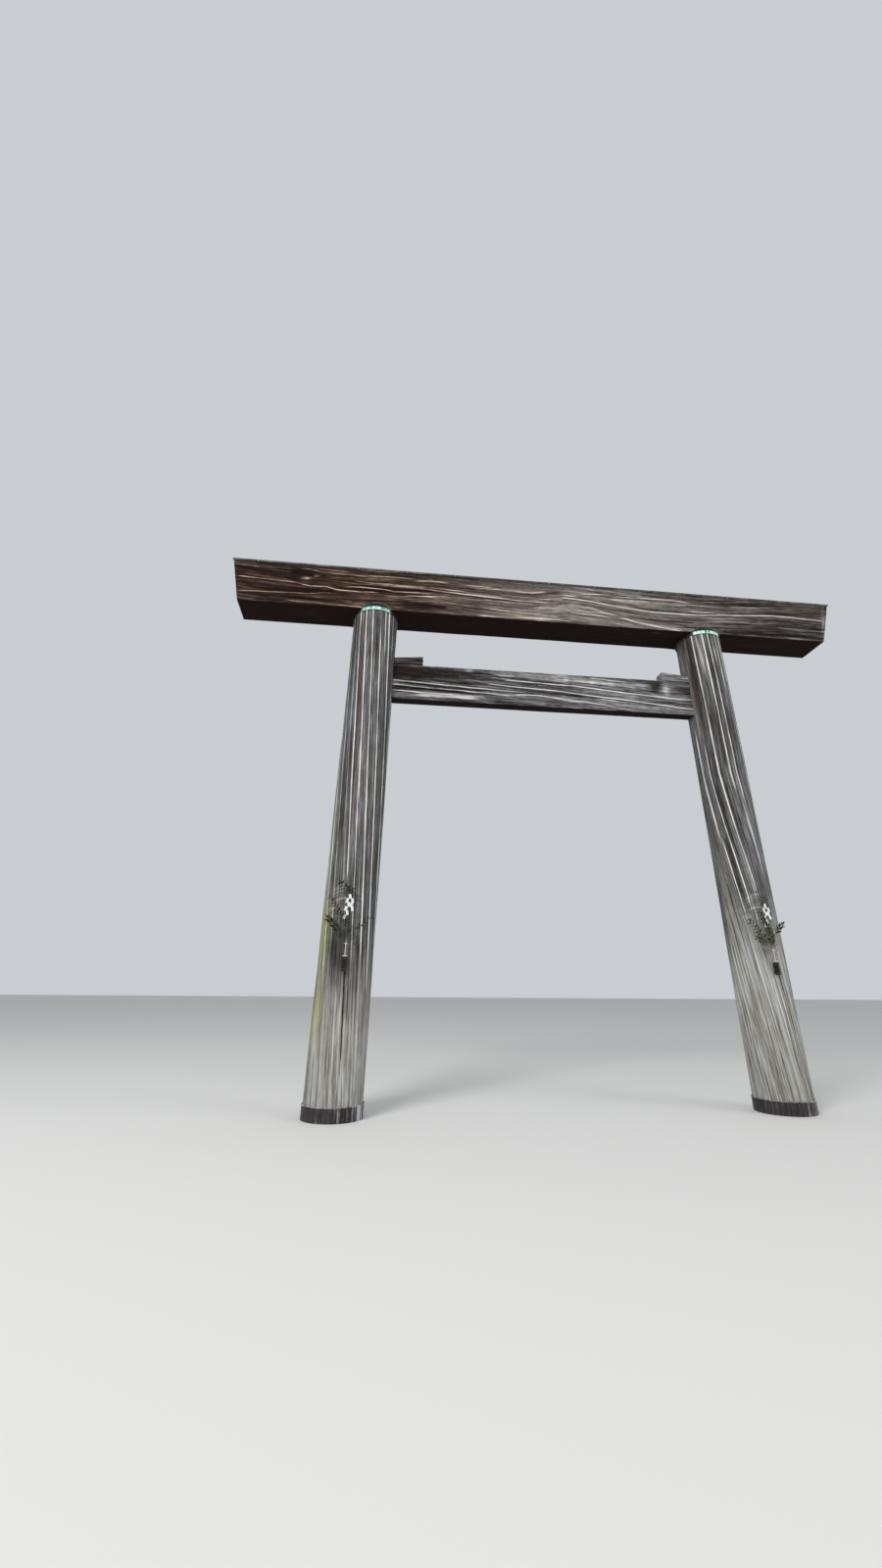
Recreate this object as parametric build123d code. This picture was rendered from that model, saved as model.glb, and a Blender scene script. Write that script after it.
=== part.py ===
from build123d import *
import math
import os

# Torii gate of plain logs: two leaning round columns, a five-sided top beam and a tie beam with wedges.
# Millimetres, +Z up. X runs along the gate, the front faces -Y, and the origin lies on the ground midway
# between the columns.

LEFT = -1
RIGHT = 1
SIDES = (("left", LEFT), ("right", RIGHT))

# Columns
foot_spacing = 7130
head_spacing = 6545
column_height = 8575
foot_diameter = 902
head_diameter = 846
log_sides = 72
check_width = 14
check_depth = 70
check_low = 1050
check_high = 2030
check_tilt = 2.6

# Top beam
beam_bottom_depth = 662
beam_side_height = 780
beam_side_lean = 12
beam_gable_rise = 105
beam_bottom_length = 11670
beam_end_lean = 8

# Sheet copper on the top beam
cover_thickness = 4
cover_drip = 34
cover_overhang = 14
ridge_cap_width = 190
ridge_roll_diameter = 46

# Tie beam and its wedges
tie_drop = 1730
tie_beam_height = 720
tie_beam_depth = 234
tie_edge_break = 9
tenon_depth = 330
wedge_length = 530
wedge_free_height = 192
wedge_column_height = 140
wedge_edge_break = 5
mortise_clearance = 0.3

# Copper collar under the top beam and its shoulder flashing
sheet_clearance = 0.3
neck_band_height = 66
neck_band_thickness = 4
neck_lip_height = 9
neck_lip_proud = 6
shoulder_height = 110
flashing_thickness = 4
flashing_turn_up = 22

# Base sleeve
sleeve_height = 205
sleeve_thickness = 7
sleeve_rim_height = 14
sleeve_rim_proud = 5

# Sprig holder on the front of each column
holder_foot = 2052
holder_length = 210
holder_diameter = 75
holder_wall = 5
holder_floor = 12
holder_rim_height = 12
holder_rim_proud = 3
tube_sides = 30
bracket_width = 64
bracket_stand_off = 14
bracket_end_gap = 22
strap_height = 14
strap_thickness = 3
bracket_clearance = 0.3

# Sprig, ties and paper streamer
stem_diameter = 17
stem_tip_diameter = 8
stem_length = 1230
rod_sides = 7
longest_twig = 520
twig_diameter = 9
twig_tip_diameter = 5
leaf_length = 88
leaf_width = 36
leaf_thickness = 2
leaf_spread = 48
leaf_pitch = 52
leaf_bare_length = 150
leaf_clearance = 0.3
tie_rise = 163
tie_height = 18
tie_thickness = 6
tie_end_length = 34
tie_end_width = 9
streamer_drop = 92
streamer_panel_width = 62
streamer_panel_height = 76
streamer_pitch = 63
streamer_thickness = 2
streamer_fold_angle = 13
streamer_loop_height = 20

# Twigs of each sprig: how far up the stem each leaves it, as a share of the stem above the tie, its bearing from
# the front, its rise from level, and its length as a share of the longest twig
twigs_of = {
    LEFT: (
        (0.116, -79, 40, 0.77),
        (0.187, 79, 34, 0.83),
        (0.342, -70, 50, 0.80),
        (0.912, -62, 38, 0.41),
    ),
    RIGHT: (
        (0.080, -80, 47, 1.00),
        (0.032, -73, 27, 0.68),
        (0.306, -62, 59, 0.72),
        (0.235, 60, 44, 0.53),
    ),
}
# Panels of the streamer's two strands, each so many panel widths to the right of the stem, from the top down
long_strand = (0, -0.58, -0.13, -0.74, -0.35, -1.0)
short_strand = (0.71, 0.48, 0.81)

# Values that follow from the sizes above
lean_angle = math.degrees(math.atan((foot_spacing - head_spacing) / 2 / column_height))
beam_top_depth = beam_bottom_depth + 2 * beam_side_height * math.tan(math.radians(beam_side_lean))
beam_total_height = beam_side_height + beam_gable_rise
tie_underside = column_height - tie_drop
tie_top = tie_underside + tie_beam_height
tie_place = holder_length + holder_rim_height + tie_rise
streamer_top = holder_floor + stem_length - streamer_drop


def axis_x(side, z):
    """X of a column's axis at a height."""
    lean = (foot_spacing - head_spacing) / 2
    return side * (foot_spacing / 2 - lean * z / column_height)


def column_radius(z):
    """Radius of the tapering log at a height."""
    taper = (foot_diameter - head_diameter) / 2
    return foot_diameter / 2 - taper * z / column_height


def level_slab(low, high):
    """Space between two heights, wider than the whole gate."""
    reach = beam_bottom_length
    return Pos(0, 0, low) * Box(reach, reach, high - low, align=(Align.CENTER, Align.CENTER, Align.MIN))


def log(side, low, high, proud=0):
    """Length of a leaning, tapering log of many flats, cut level at two heights, with its skin set out by proud."""
    past_end = foot_diameter
    start = -past_end
    end = column_height + past_end
    to_flat = math.cos(math.pi / log_sides)
    narrowing = (column_radius(start) - column_radius(end)) * to_flat / (end - start)
    outline = RegularPolygon(column_radius(start) + proud / to_flat, log_sides)
    shaft = extrude(outline, end - start, taper=math.degrees(math.atan(narrowing)))
    place = Location((axis_x(side, start), 0, start), (0, -side * lean_angle, 0))
    return (place * shaft) & level_slab(low, high)


def round_slab(side, low, high, radius):
    """Length of a leaning cylinder on a column's axis, cut level at two heights."""
    middle = (low + high) / 2
    cylinder = Cylinder(radius, high - low + 2 * radius)
    place = Location((axis_x(side, middle), 0, middle), (0, -side * lean_angle, 0))
    return (place * cylinder) & level_slab(low, high)


def ring(side, low, high, inner, outer):
    """Band of two radii on a column's axis, between two heights."""
    return round_slab(side, low, high, outer) - round_slab(side, low, high, inner)


def beam_outline():
    """Five-sided section of the top beam, in the YZ plane from its underside up."""
    half_bottom = beam_bottom_depth / 2
    half_top = beam_top_depth / 2
    points = [
        (-half_bottom, 0),
        (half_bottom, 0),
        (half_top, beam_side_height),
        (0, beam_total_height),
        (-half_top, beam_side_height),
    ]
    return make_face(Polyline(*points, close=True))


def along_beam(section, past_end=0):
    """Runs a section along the top beam and cuts both ends to the beam's outward slope."""
    spread = math.tan(math.radians(beam_end_lean))
    half_low = beam_bottom_length / 2 + past_end
    height = beam_total_height + cover_thickness + ridge_roll_diameter
    half_high = half_low + height * spread
    run = extrude(Plane.YZ * section, half_high + beam_top_depth, both=True)
    side_view = Polyline(
        (-half_low, 0), (half_low, 0), (half_high, height), (-half_high, height), close=True
    )
    keep = extrude(Plane.XZ * make_face(side_view), beam_top_depth, both=True)
    return Pos(0, 0, column_height) * (run & keep)


def top_beam():
    return along_beam(beam_outline())


def cover_sheet(face):
    """Sheet over one slope of the top beam, turned down over the edge as a drip."""
    half_top = beam_top_depth / 2
    drip_foot = beam_side_height - cover_drip
    half_drip = beam_bottom_depth / 2 + drip_foot * math.tan(math.radians(beam_side_lean))
    outer_top = half_top + cover_thickness
    points = [
        (0, beam_total_height),
        (face * half_top, beam_side_height),
        (face * half_drip, drip_foot),
        (face * (half_drip + cover_thickness), drip_foot),
        (face * outer_top, beam_side_height + cover_thickness),
        (0, beam_total_height + cover_thickness),
    ]
    return along_beam(make_face(Polyline(*points, close=True)), cover_overhang)


def ridge_cap():
    """Capping over the meeting of the two sheets: two wings and a roll."""
    slope = beam_gable_rise / (beam_top_depth / 2 + cover_thickness)
    half = ridge_cap_width / 2
    base = beam_total_height + cover_thickness
    points = [
        (0, base),
        (half, base - half * slope),
        (half, base - half * slope + cover_thickness),
        (0, base + cover_thickness),
        (-half, base - half * slope + cover_thickness),
        (-half, base - half * slope),
    ]
    wings = make_face(Polyline(*points, close=True))
    roll = Pos(0, base + cover_thickness) * Circle(ridge_roll_diameter / 2)
    above_wings = Pos(0, base + cover_thickness / 2) * Rectangle(
        ridge_cap_width, 2 * ridge_roll_diameter, align=(Align.CENTER, Align.MIN)
    )
    return along_beam(wings + (roll & above_wings), cover_overhang)


def tenon_end(side):
    """X where a tenon ends inside its column."""
    middle = tie_underside + tie_beam_height / 2
    return axis_x(side, middle) - side * (column_radius(middle) - tenon_depth)


def tie_beam():
    length = tenon_end(RIGHT) - tenon_end(LEFT)
    board = Pos(0, 0, tie_underside + tie_beam_height / 2) * Box(length, tie_beam_depth, tie_beam_height)
    return chamfer(board.edges().filter_by(Axis.X), tie_edge_break)


def wedge_outline(side, clearance):
    """Side view of a wedge: thick at its free end, thinner towards and inside the column."""
    face = axis_x(side, tie_top) - side * column_radius(tie_top)
    free_end = face - side * wedge_length
    slope = (wedge_free_height - wedge_column_height) / wedge_length
    inner_end = tenon_end(side) + side * clearance
    inner_height = wedge_free_height - slope * abs(inner_end - free_end)
    points = [
        (free_end, tie_top),
        (inner_end, tie_top),
        (inner_end, tie_top + inner_height + clearance),
        (free_end, tie_top + wedge_free_height + clearance),
    ]
    return make_face(Polyline(*points, close=True))


def wedge(side):
    block = extrude(Plane.XZ * wedge_outline(side, 0), tie_beam_depth / 2, both=True)
    free_end = block.faces().sort_by(Axis.X)[0 if side == RIGHT else -1]
    return chamfer(free_end.edges(), wedge_edge_break)


def mortise(side):
    """Pocket in a column for the tenon and the wedge over it."""
    clear = mortise_clearance
    end = tenon_end(side) + side * clear
    length = column_radius(0) + tenon_depth
    width = tie_beam_depth + 2 * clear
    pocket = Pos(end - side * length / 2, 0, tie_underside + (tie_beam_height + clear) / 2) * Box(
        length, width, tie_beam_height + clear
    )
    over = extrude(Plane.XZ * wedge_outline(side, clear), width / 2, both=True)
    return pocket + over


def drying_check(side):
    """Narrow V-shaped split below the sprig holder, which follows the log's spiral grain."""
    outline = Polyline(
        (-check_width / 2, 0), (check_width / 2, 0), (0, check_depth + 1), close=True
    )
    prism = extrude(make_face(outline), check_high - check_low)
    front = column_radius(check_low)
    foot_across = (check_high - check_low) * math.tan(math.radians(check_tilt))
    foot = Pos(axis_x(side, check_low) + foot_across, -front - 1, check_low)
    return foot * Rot(0, -side * lean_angle - check_tilt, 0) * prism


def column(side):
    shaft = log(side, 0, column_height) - mortise(side)
    if side == LEFT:
        shaft = shaft - drying_check(side)
    return shaft


def neck_band_inner():
    return column_radius(column_height - neck_band_height) + sheet_clearance


def neck_band(side):
    """Copper collar round the column's head, with a drip lip at its foot."""
    low = column_height - neck_band_height
    inner = neck_band_inner()
    outer = inner + neck_band_thickness
    band = ring(side, low, column_height, inner, outer)
    lip = ring(side, low, low + neck_lip_height, inner, outer + neck_lip_proud)
    return band + lip


def shoulder_cone(side, proud=0):
    """Cone from the collar's top edge up to the leaning face of the top beam."""
    radius = neck_band_inner() + neck_band_thickness
    half_bottom = beam_bottom_depth / 2
    face_lean = math.tan(math.radians(beam_side_lean))
    top_radius = half_bottom + shoulder_height * face_lean
    cone = Pos(0, 0, shoulder_height / 2) * Cone(radius + proud, top_radius + proud, shoulder_height)
    return Pos(axis_x(side, column_height), 0, column_height) * cone


def beyond_face(face, thickness):
    """Slab that lies on one leaning face of the top beam, outward from it."""
    half_bottom = beam_bottom_depth / 2
    rise = 2 * shoulder_height
    lean = rise * math.tan(math.radians(beam_side_lean))
    points = [
        (face * half_bottom, 0),
        (face * (half_bottom + thickness), 0),
        (face * (half_bottom + thickness + lean), rise),
        (face * (half_bottom + lean), rise),
    ]
    slab = extrude(Plane.YZ * make_face(Polyline(*points, close=True)), foot_spacing, both=True)
    return Pos(0, 0, column_height) * slab


def neck_flashing(side, face):
    """Curved sheet over the column's shoulder, with a turned-up edge on the beam's face."""
    skin = shoulder_cone(side) - shoulder_cone(side, -flashing_thickness)
    shoulder = skin & beyond_face(face, beam_bottom_depth)
    arch = shoulder_cone(side, flashing_turn_up) - shoulder_cone(side, -flashing_thickness)
    turn_up = arch & beyond_face(face, flashing_thickness)
    return shoulder + turn_up


def neck_flashings(side):
    return Compound(children=[neck_flashing(side, -1), neck_flashing(side, 1)])


def base_sleeve(side):
    """Sleeve round the foot of a column, with a rolled rim."""
    inner = column_radius(0) + sheet_clearance
    outer = inner + sleeve_thickness
    sleeve = ring(side, 0, sleeve_height, inner, outer)
    rim = ring(side, sleeve_height - sleeve_rim_height, sleeve_height, inner, outer + sleeve_rim_proud)
    return sleeve + rim


def on_column_front(side):
    """Place of a sprig holder: the foot of its tube, square to the leaning column."""
    back = column_radius(holder_foot) + bracket_stand_off
    place = (axis_x(side, holder_foot), -back - holder_diameter / 2, holder_foot)
    return Location(place, (0, -side * lean_angle, 0))


def tube_space(radius, low, high):
    """Round space of many flats on the tube's axis, between two heights above its foot."""
    return Pos(0, 0, low) * extrude(RegularPolygon(radius, tube_sides), high - low)


def holder_tube(side):
    radius = holder_diameter / 2
    wall = tube_space(radius, 0, holder_length)
    bore = tube_space(radius - holder_wall, holder_floor, holder_length)
    return on_column_front(side) * (wall - bore)


def holder_rim(side):
    radius = holder_diameter / 2
    low = holder_length
    high = holder_length + holder_rim_height
    rim = tube_space(radius + holder_rim_proud, low, high) - tube_space(radius - holder_wall, low, high)
    return on_column_front(side) * rim


def holder_bracket(side):
    """Block scribed to the column, hollowed for the tube, with two straps round the tube."""
    radius = holder_diameter / 2
    height = holder_length - 2 * bracket_end_gap
    depth = bracket_stand_off + radius + column_radius(0) - bracket_width
    block = Pos(0, depth / 2, holder_length / 2) * Box(bracket_width, depth, height)
    block = on_column_front(side) * block
    block = block - log(side, 0, column_height, bracket_clearance)
    hollow = tube_space(radius + bracket_clearance, -1, holder_length + 1)
    straps = []
    for low in (bracket_end_gap, holder_length - bracket_end_gap - strap_height):
        outer = tube_space(radius + bracket_clearance + strap_thickness, low, low + strap_height)
        straps.append(outer)
    for strap in straps:
        block = block + on_column_front(side) * strap
    return block - on_column_front(side) * hollow


def tapered_rod(start, end, start_diameter, end_diameter):
    """Tapering rod of a few flat sides between two points."""
    place = Plane(origin=start, z_dir=end - start)
    foot = RegularPolygon(start_diameter / 2, rod_sides)
    tip = RegularPolygon(end_diameter / 2, rod_sides)
    return loft([place * foot, place.offset((end - start).length) * tip], ruled=True)


def twig_ends(twig):
    """Start on the stem and tip of a twig, from the foot of the tube."""
    share, bearing, rise, length = twig
    bare = tie_place + tie_height
    start = Vector(0, 0, bare + share * (holder_floor + stem_length - bare))
    reach = Vector(0, -longest_twig * length, 0).rotate(Axis.X, -rise).rotate(Axis.Z, bearing)
    return start, start + reach


def stem_ends():
    return Vector(0, 0, holder_floor), Vector(0, 0, holder_floor + stem_length)


def branch(side, proud=0):
    """Stem and twigs of a sprig, with their skin set out by proud."""
    whole = tapered_rod(*stem_ends(), stem_diameter + 2 * proud, stem_tip_diameter + 2 * proud)
    for twig in twigs_of[side]:
        whole = whole + tapered_rod(*twig_ends(twig), twig_diameter + 2 * proud, twig_tip_diameter + 2 * proud)
    return whole


def sprig_stem(side):
    """Cut branch that stands in the tube, with its twigs."""
    return on_column_front(side) * branch(side)


def leaf_blade(base, direction, facing):
    """Pointed leaf that starts at base and runs along direction."""
    half = leaf_width / 2
    points = [
        (0, 0),
        (leaf_length * 0.25, half * 0.8),
        (leaf_length * 0.5, half),
        (leaf_length * 0.8, half * 0.55),
        (leaf_length, 0),
        (leaf_length * 0.8, -half * 0.55),
        (leaf_length * 0.5, -half),
        (leaf_length * 0.25, -half * 0.8),
    ]
    blade = extrude(make_face(Polyline(*points, close=True)), leaf_thickness / 2, both=True)
    return Plane(origin=base, x_dir=direction, z_dir=facing) * blade


def leaves_on(start, end, bare):
    """Leaves in turn on the two sides of a twig, and one at its tip."""
    along = (end - start).normalized()
    outward = Vector(0, -1, 0)
    across = outward.cross(along).normalized()
    spread = math.radians(leaf_spread)
    leaves = []
    count = int(((end - start).length - bare) / leaf_pitch)
    for number in range(count):
        hand = 1 if number % 2 else -1
        base = end - along * (leaf_pitch * (number + 0.4))
        direction = along * math.cos(spread) + across * (hand * math.sin(spread))
        facing = outward + along * 0.35
        facing = facing - direction * facing.dot(direction)
        leaves.append(leaf_blade(base, direction, facing))
    facing = outward - along * outward.dot(along)
    leaves.append(leaf_blade(end + along * leaf_clearance, along, facing))
    return leaves


def sprig_leaves(side):
    leaves = leaves_on(*stem_ends(), stem_length - leaf_pitch)
    for twig in twigs_of[side]:
        leaves = leaves + leaves_on(*twig_ends(twig), leaf_bare_length)
    wood = branch(side, leaf_clearance)
    return on_column_front(side) * Compound(children=[leaf - wood for leaf in leaves])


def stem_radius(height):
    """Radius of the sprig's stem at a height above the foot of the tube."""
    share = (height - holder_floor) / stem_length
    return (stem_diameter + (stem_tip_diameter - stem_diameter) * share) / 2


def wrap_space(radius, low, high):
    """Space of the stem's own few-sided section, for what is tied round it."""
    return Pos(0, 0, low) * extrude(RegularPolygon(radius, rod_sides), high - low)


def sprig_tie(side):
    """Paper cord tied round the stem, with its two ends in front."""
    inner = stem_radius(tie_place) + leaf_clearance
    outer = inner + tie_thickness
    knot = wrap_space(outer, tie_place, tie_place + tie_height)
    for hand in (-1, 1):
        end = Box(tie_end_length, tie_thickness, tie_end_width, align=(Align.MIN, Align.CENTER, Align.CENTER))
        turned = Rot(0, 0, 0 if hand == 1 else 180) * Rot(0, -25, 0) * end
        knot = knot + Pos(0, -outer + tie_thickness / 2, tie_place + tie_height / 2) * turned
    hole = wrap_space(inner, tie_place - tie_height, tie_place + 2 * tie_height)
    return on_column_front(side) * (knot - hole)


def strand(shares, first_row, front):
    """Folded paper strip: panels that lean to one side and the other in turn."""
    panels = []
    for number, share in enumerate(shares):
        hand = 1 if number % 2 else -1
        panel = Box(streamer_panel_width, streamer_thickness, streamer_panel_height)
        depth = front - (number % 2) * streamer_thickness / 2
        down = streamer_panel_height / 2 + (first_row + number) * streamer_pitch
        place = Pos(share * streamer_panel_width, depth, streamer_top - down)
        panels.append(place * Rot(0, hand * streamer_fold_angle, 0) * panel)
    return panels


def paper_streamer(side):
    """Zigzag paper streamer of two strands, hung by a loop round the stem."""
    low = streamer_top - streamer_loop_height
    inner = stem_radius(low) + leaf_clearance
    outer = inner + streamer_thickness
    front = -outer * math.cos(math.pi / rod_sides) - streamer_thickness / 4
    paper = wrap_space(outer, low, streamer_top)
    for panel in strand(long_strand, 0, front) + strand(short_strand, 1, front):
        paper = paper + panel
    hole = wrap_space(inner, low - streamer_loop_height, streamer_top + streamer_loop_height)
    return on_column_front(side) * (paper - hole)


def write(node, shape):
    export_step(shape, "parts/" + node + ".step")


os.makedirs("parts", exist_ok=True)
write("top_beam", top_beam())
write("beam_cover_front", cover_sheet(-1))
write("beam_cover_rear", cover_sheet(1))
write("beam_cover_ridge", ridge_cap())
write("tie_beam", tie_beam())
for name, side in SIDES:
    write(name + "_column", column(side))
    write(name + "_wedge", wedge(side))
    write(name + "_neck_band", neck_band(side))
    write(name + "_neck_flashing", neck_flashings(side))
    write(name + "_base_sleeve", base_sleeve(side))
    write(name + "_holder_tube", holder_tube(side))
    write(name + "_holder_rim", holder_rim(side))
    write(name + "_holder_bracket", holder_bracket(side))
    write(name + "_sprig_stem", sprig_stem(side))
    write(name + "_sprig_leaves", sprig_leaves(side))
    write(name + "_sprig_tie", sprig_tie(side))
    write(name + "_paper_streamer", paper_streamer(side))
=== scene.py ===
import math
import random

import bpy
import numpy as np
from mathutils import Matrix, Vector, noise


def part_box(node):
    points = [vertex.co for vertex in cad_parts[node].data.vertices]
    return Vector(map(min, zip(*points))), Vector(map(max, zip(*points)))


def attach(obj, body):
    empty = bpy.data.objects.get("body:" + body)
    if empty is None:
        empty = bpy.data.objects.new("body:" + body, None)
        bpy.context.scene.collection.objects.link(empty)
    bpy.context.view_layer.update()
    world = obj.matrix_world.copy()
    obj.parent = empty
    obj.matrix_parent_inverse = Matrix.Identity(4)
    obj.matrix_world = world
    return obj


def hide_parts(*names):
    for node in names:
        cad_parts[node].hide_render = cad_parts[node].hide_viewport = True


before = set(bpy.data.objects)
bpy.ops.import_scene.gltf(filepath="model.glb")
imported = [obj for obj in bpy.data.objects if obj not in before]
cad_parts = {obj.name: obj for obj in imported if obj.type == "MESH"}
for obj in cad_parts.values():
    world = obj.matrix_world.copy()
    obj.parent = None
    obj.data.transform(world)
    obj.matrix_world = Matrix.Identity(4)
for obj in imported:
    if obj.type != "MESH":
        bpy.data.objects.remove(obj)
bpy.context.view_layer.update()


# ---- Columns ----
# Each column is one cypress log, stripped of its bark and set up leaning inwards, unpainted. The soft
# wood has weathered away between the hard grain, which stands up as pale ribs that wind slowly round the
# log. Near the ground the wood is smooth and pale.
log_height = 8.575
log_foot_x, log_head_x = 3.565, 3.2725
log_foot_radius, log_head_radius = 0.451, 0.423
log_mean_radius = (log_foot_radius + log_head_radius) / 2
log_sides, log_levels = 560, 160
log_skin = 0.001
log_hollow, log_groove, log_ripple, log_wave = 0.008, 0.006, 0.0025, 0.004
log_sway = 0.006
sprig_middle = 2.62
# The groove on each side of a rib: its side, distance from the rib's edge, half width and strength.
# The grooves are carved and also painted darker as painted shadow, most on the right of each rib.
rib_grooves = ((-1, 0.009, 0.006, 1.0), (1, 0.008, 0.005, 0.6))
# Turn: how far the grain has wound round the log at each height, in degrees. Ribs: bearing at the head,
# upper and lower end, strength and half width. Spare: bearings between which ribs are set at random, on
# the hidden side. Checks: bearing at the head, upper and lower end, half width and depth. Dark and light
# patches, moss, brushed arcs and brown stains: bearing, height, half sizes across and along, and strength.
log_facts = {
    "left_column": {
        "side": -1,
        "seed": 3,
        "turn": ((0, 53), (8.6, 0)),
        "ribs": (
            (-88, 8.6, 1.8, 0.7, 0.012), (-71, 8.6, 2.2, 0.6, 0.011), (-54, 8.6, 4.0, 0.45, 0.010),
            (-54, 1.9, 0.6, 0.5, 0.009), (-42, 8.6, 3.3, 0.95, 0.010), (-24.5, 8.6, 4.7, 0.95, 0.012),
            (-26.5, 4.9, 2.1, 0.8, 0.009), (-7, 8.6, 2.0, 1.0, 0.011), (-8, 2.3, 0.7, 0.5, 0.012),
            (13.5, 8.2, 1.7, 1.0, 0.011), (27, 8.6, 7.4, 0.85, 0.010), (38.5, 8.6, 1.9, 1.0, 0.014),
            (53, 8.6, 7.5, 0.7, 0.012), (60, 7.2, 2.2, 0.7, 0.012),
        ),
        "spare": (74, 258),
        "checks": (
            (-38.5, 2.06, 0.80, 0.014, 0.018), (4.5, 8.4, 7.0, 0.006, 0.008),
            (16.5, 7.2, 4.8, 0.005, 0.006), (-48.5, 1.2, 0.3, 0.004, 0.004),
            (-66, 2.6, 1.7, 0.005, 0.005), (-58, 2.5, 1.8, 0.004, 0.005), (-49, 8.4, 7.2, 0.005, 0.006),
        ),
        "dark": (
            (-33, 6.5, 5, 2.2, 0.10), (-62, 7.6, 10, 1.2, 0.20), (46, 6.5, 5, 2.5, 0.10),
            (-62, 2.25, 9, 0.33, 0.24), (-45, 2.2, 7, 0.42, 0.20), (5, 7.9, 4, 0.6, 0.10),
            (-12, 2.6, 14, 0.5, 0.06),
        ),
        "light": ((4, 4.9, 4, 1.1, 0.08), (-20, 0.35, 40, 0.35, 0.05)),
        "smooth_below": 1.95,
        "moss": (
            (-68, 2.7, 24, 0.45, 1.0), (-60, 2.0, 14, 0.8, 0.6), (-62, 1.4, 18, 0.35, 0.9),
            (-76, 4.1, 14, 0.8, 0.5),
        ),
        "brushed": ((-38, 3.0, 30, 0.30, 1.0), (22, 2.55, 18, 0.30, 0.6), (-5, 3.15, 40, 0.18, 0.7)),
        "brown": (
            (-29, 8.0, 4, 0.5, 0.8), (-24, 7.1, 4, 0.7, 0.9), (-18, 6.1, 4, 0.7, 0.8),
            (-11, 5.0, 4, 0.7, 0.7), (0, 0.85, 3, 0.36, 0.9), (50, 1.45, 16, 0.4, 0.7),
            (-12, 4.4, 4, 0.9, 0.6), (24, 1.35, 5, 0.5, 0.3),
        ),
    },
    "right_column": {
        "side": 1,
        "seed": 8,
        "turn": (
            (0, 84), (1.43, 68), (2.46, 53), (3.2, 42), (3.45, 38.5), (4.0, 30), (4.57, 20), (5.14, 12),
            (5.6, 6.5), (6.9, 5), (8.6, 0),
        ),
        "ribs": (
            (-140, 2.7, 1.2, 0.6, 0.014), (-130, 2.7, 1.4, 0.6, 0.014), (-111, 2.5, 1.1, 0.5, 0.010),
            (-89, 2.7, 1.1, 0.75, 0.011), (-88, 6.6, 4.2, 0.75, 0.024), (-83, 4.5, 2.8, 0.8, 0.010),
            (-67, 6.2, 3.0, 0.8, 0.013), (-65, 8.6, 7.7, 0.5, 0.012), (-60, 2.1, 0.5, 0.45, 0.012),
            (-69, 2.4, 0.9, 0.4, 0.009), (-45.6, 8.6, 3.3, 0.75, 0.016), (-31, 8.5, 7.4, 0.4, 0.030),
            (-19, 8.6, 5.0, 0.7, 0.017), (-11, 5.0, 3.6, 0.45, 0.028), (-3.5, 8.6, 4.9, 0.7, 0.015),
            (8, 8.5, 7.6, 0.8, 0.011), (18.5, 8.6, 7.2, 0.7, 0.013),
        ),
        "spare": (33, 215),
        "checks": (
            (-52, 2.3, 0.7, 0.005, 0.006), (-44, 1.9, 0.3, 0.004, 0.006), (-63, 2.5, 1.0, 0.004, 0.005),
            (-40, 6.8, 3.4, 0.006, 0.006), (-14, 8.3, 6.0, 0.005, 0.006), (-60, 5.4, 3.4, 0.006, 0.006),
            (-104, 3.6, 1.6, 0.008, 0.008), (-120, 3.4, 1.6, 0.008, 0.008), (-74, 4.4, 3.0, 0.006, 0.006),
        ),
        "dark": (
            (-58, 7.7, 9, 1.3, 0.34), (-36, 4.5, 6, 0.7, 0.22), (3, 6.6, 6, 0.9, 0.20),
            (-9, 7.9, 4, 0.7, 0.18), (-56, 4.9, 5, 0.6, 0.14), (-76, 3.7, 5, 0.6, 0.14),
            (-28, 6.0, 5, 1.2, 0.10), (-50, 1.3, 10, 0.9, 0.08),
        ),
        "light": (
            (-100, 2.2, 25, 0.9, 0.10), (-30, 7.8, 30, 0.9, 0.09), (0, 4.4, 8, 0.8, 0.06),
            (-30, 3.6, 50, 1.6, 0.05),
        ),
        "smooth_below": 2.9,
        "moss": ((-75, 3.2, 14, 1.2, 0.2),),
        "brushed": ((-12, 3.2, 26, 0.28, 1.0), (-35, 2.9, 16, 0.30, 0.6), (18, 2.6, 14, 0.35, 0.5)),
        "brown": ((-66, 7.6, 10, 0.8, 0.7), (-62, 3.4, 10, 0.5, 0.4), (-30, 1.2, 12, 0.5, 0.25)),
    },
}


def tone(red, green, blue):
    """A colour given as it looks on a screen, 0 to 255, as the shader wants it."""
    shares = (level / 255 for level in (red, green, blue))
    return tuple(((v + 0.055) / 1.055) ** 2.4 if v > 10 / 255 else v / 12.92 for v in shares) + (1,)


def work_on(*pieces):
    """Selects these pieces alone. The first is the active one."""
    bpy.ops.object.select_all(action="DESELECT")
    for piece in pieces:
        piece.select_set(True)
    bpy.context.view_layer.objects.active = pieces[0]


def new_piece(add_primitive, name, **sizes):
    """A named primitive at its place, with nothing else selected."""
    bpy.ops.object.select_all(action="DESELECT")
    add_primitive(**sizes)
    bpy.ops.object.transform_apply()
    piece = bpy.context.object
    piece.name = piece.data.name = name
    return piece


def divide_along(piece, axis, cuts):
    """Cuts every edge that runs along one axis into cuts + 1 lengths."""
    work_on(piece)
    bpy.context.tool_settings.mesh_select_mode = (False, True, False)
    mesh = piece.data
    for part in (mesh.vertices, mesh.edges, mesh.polygons):
        part.foreach_set("select", [False] * len(part))
    for edge in mesh.edges:
        start, end = (mesh.vertices[i].co for i in edge.vertices)
        edge.select = abs((end - start).normalized()[axis]) > 0.99
    bpy.ops.object.mode_set(mode="EDIT")
    bpy.ops.mesh.subdivide(number_cuts=cuts)
    bpy.ops.object.mode_set(mode="OBJECT")


def smooth(piece, degrees):
    """Shades a piece smooth, but for edges sharper than an angle."""
    work_on(piece)
    bpy.ops.object.shade_smooth_by_angle(angle=math.radians(degrees))


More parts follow.
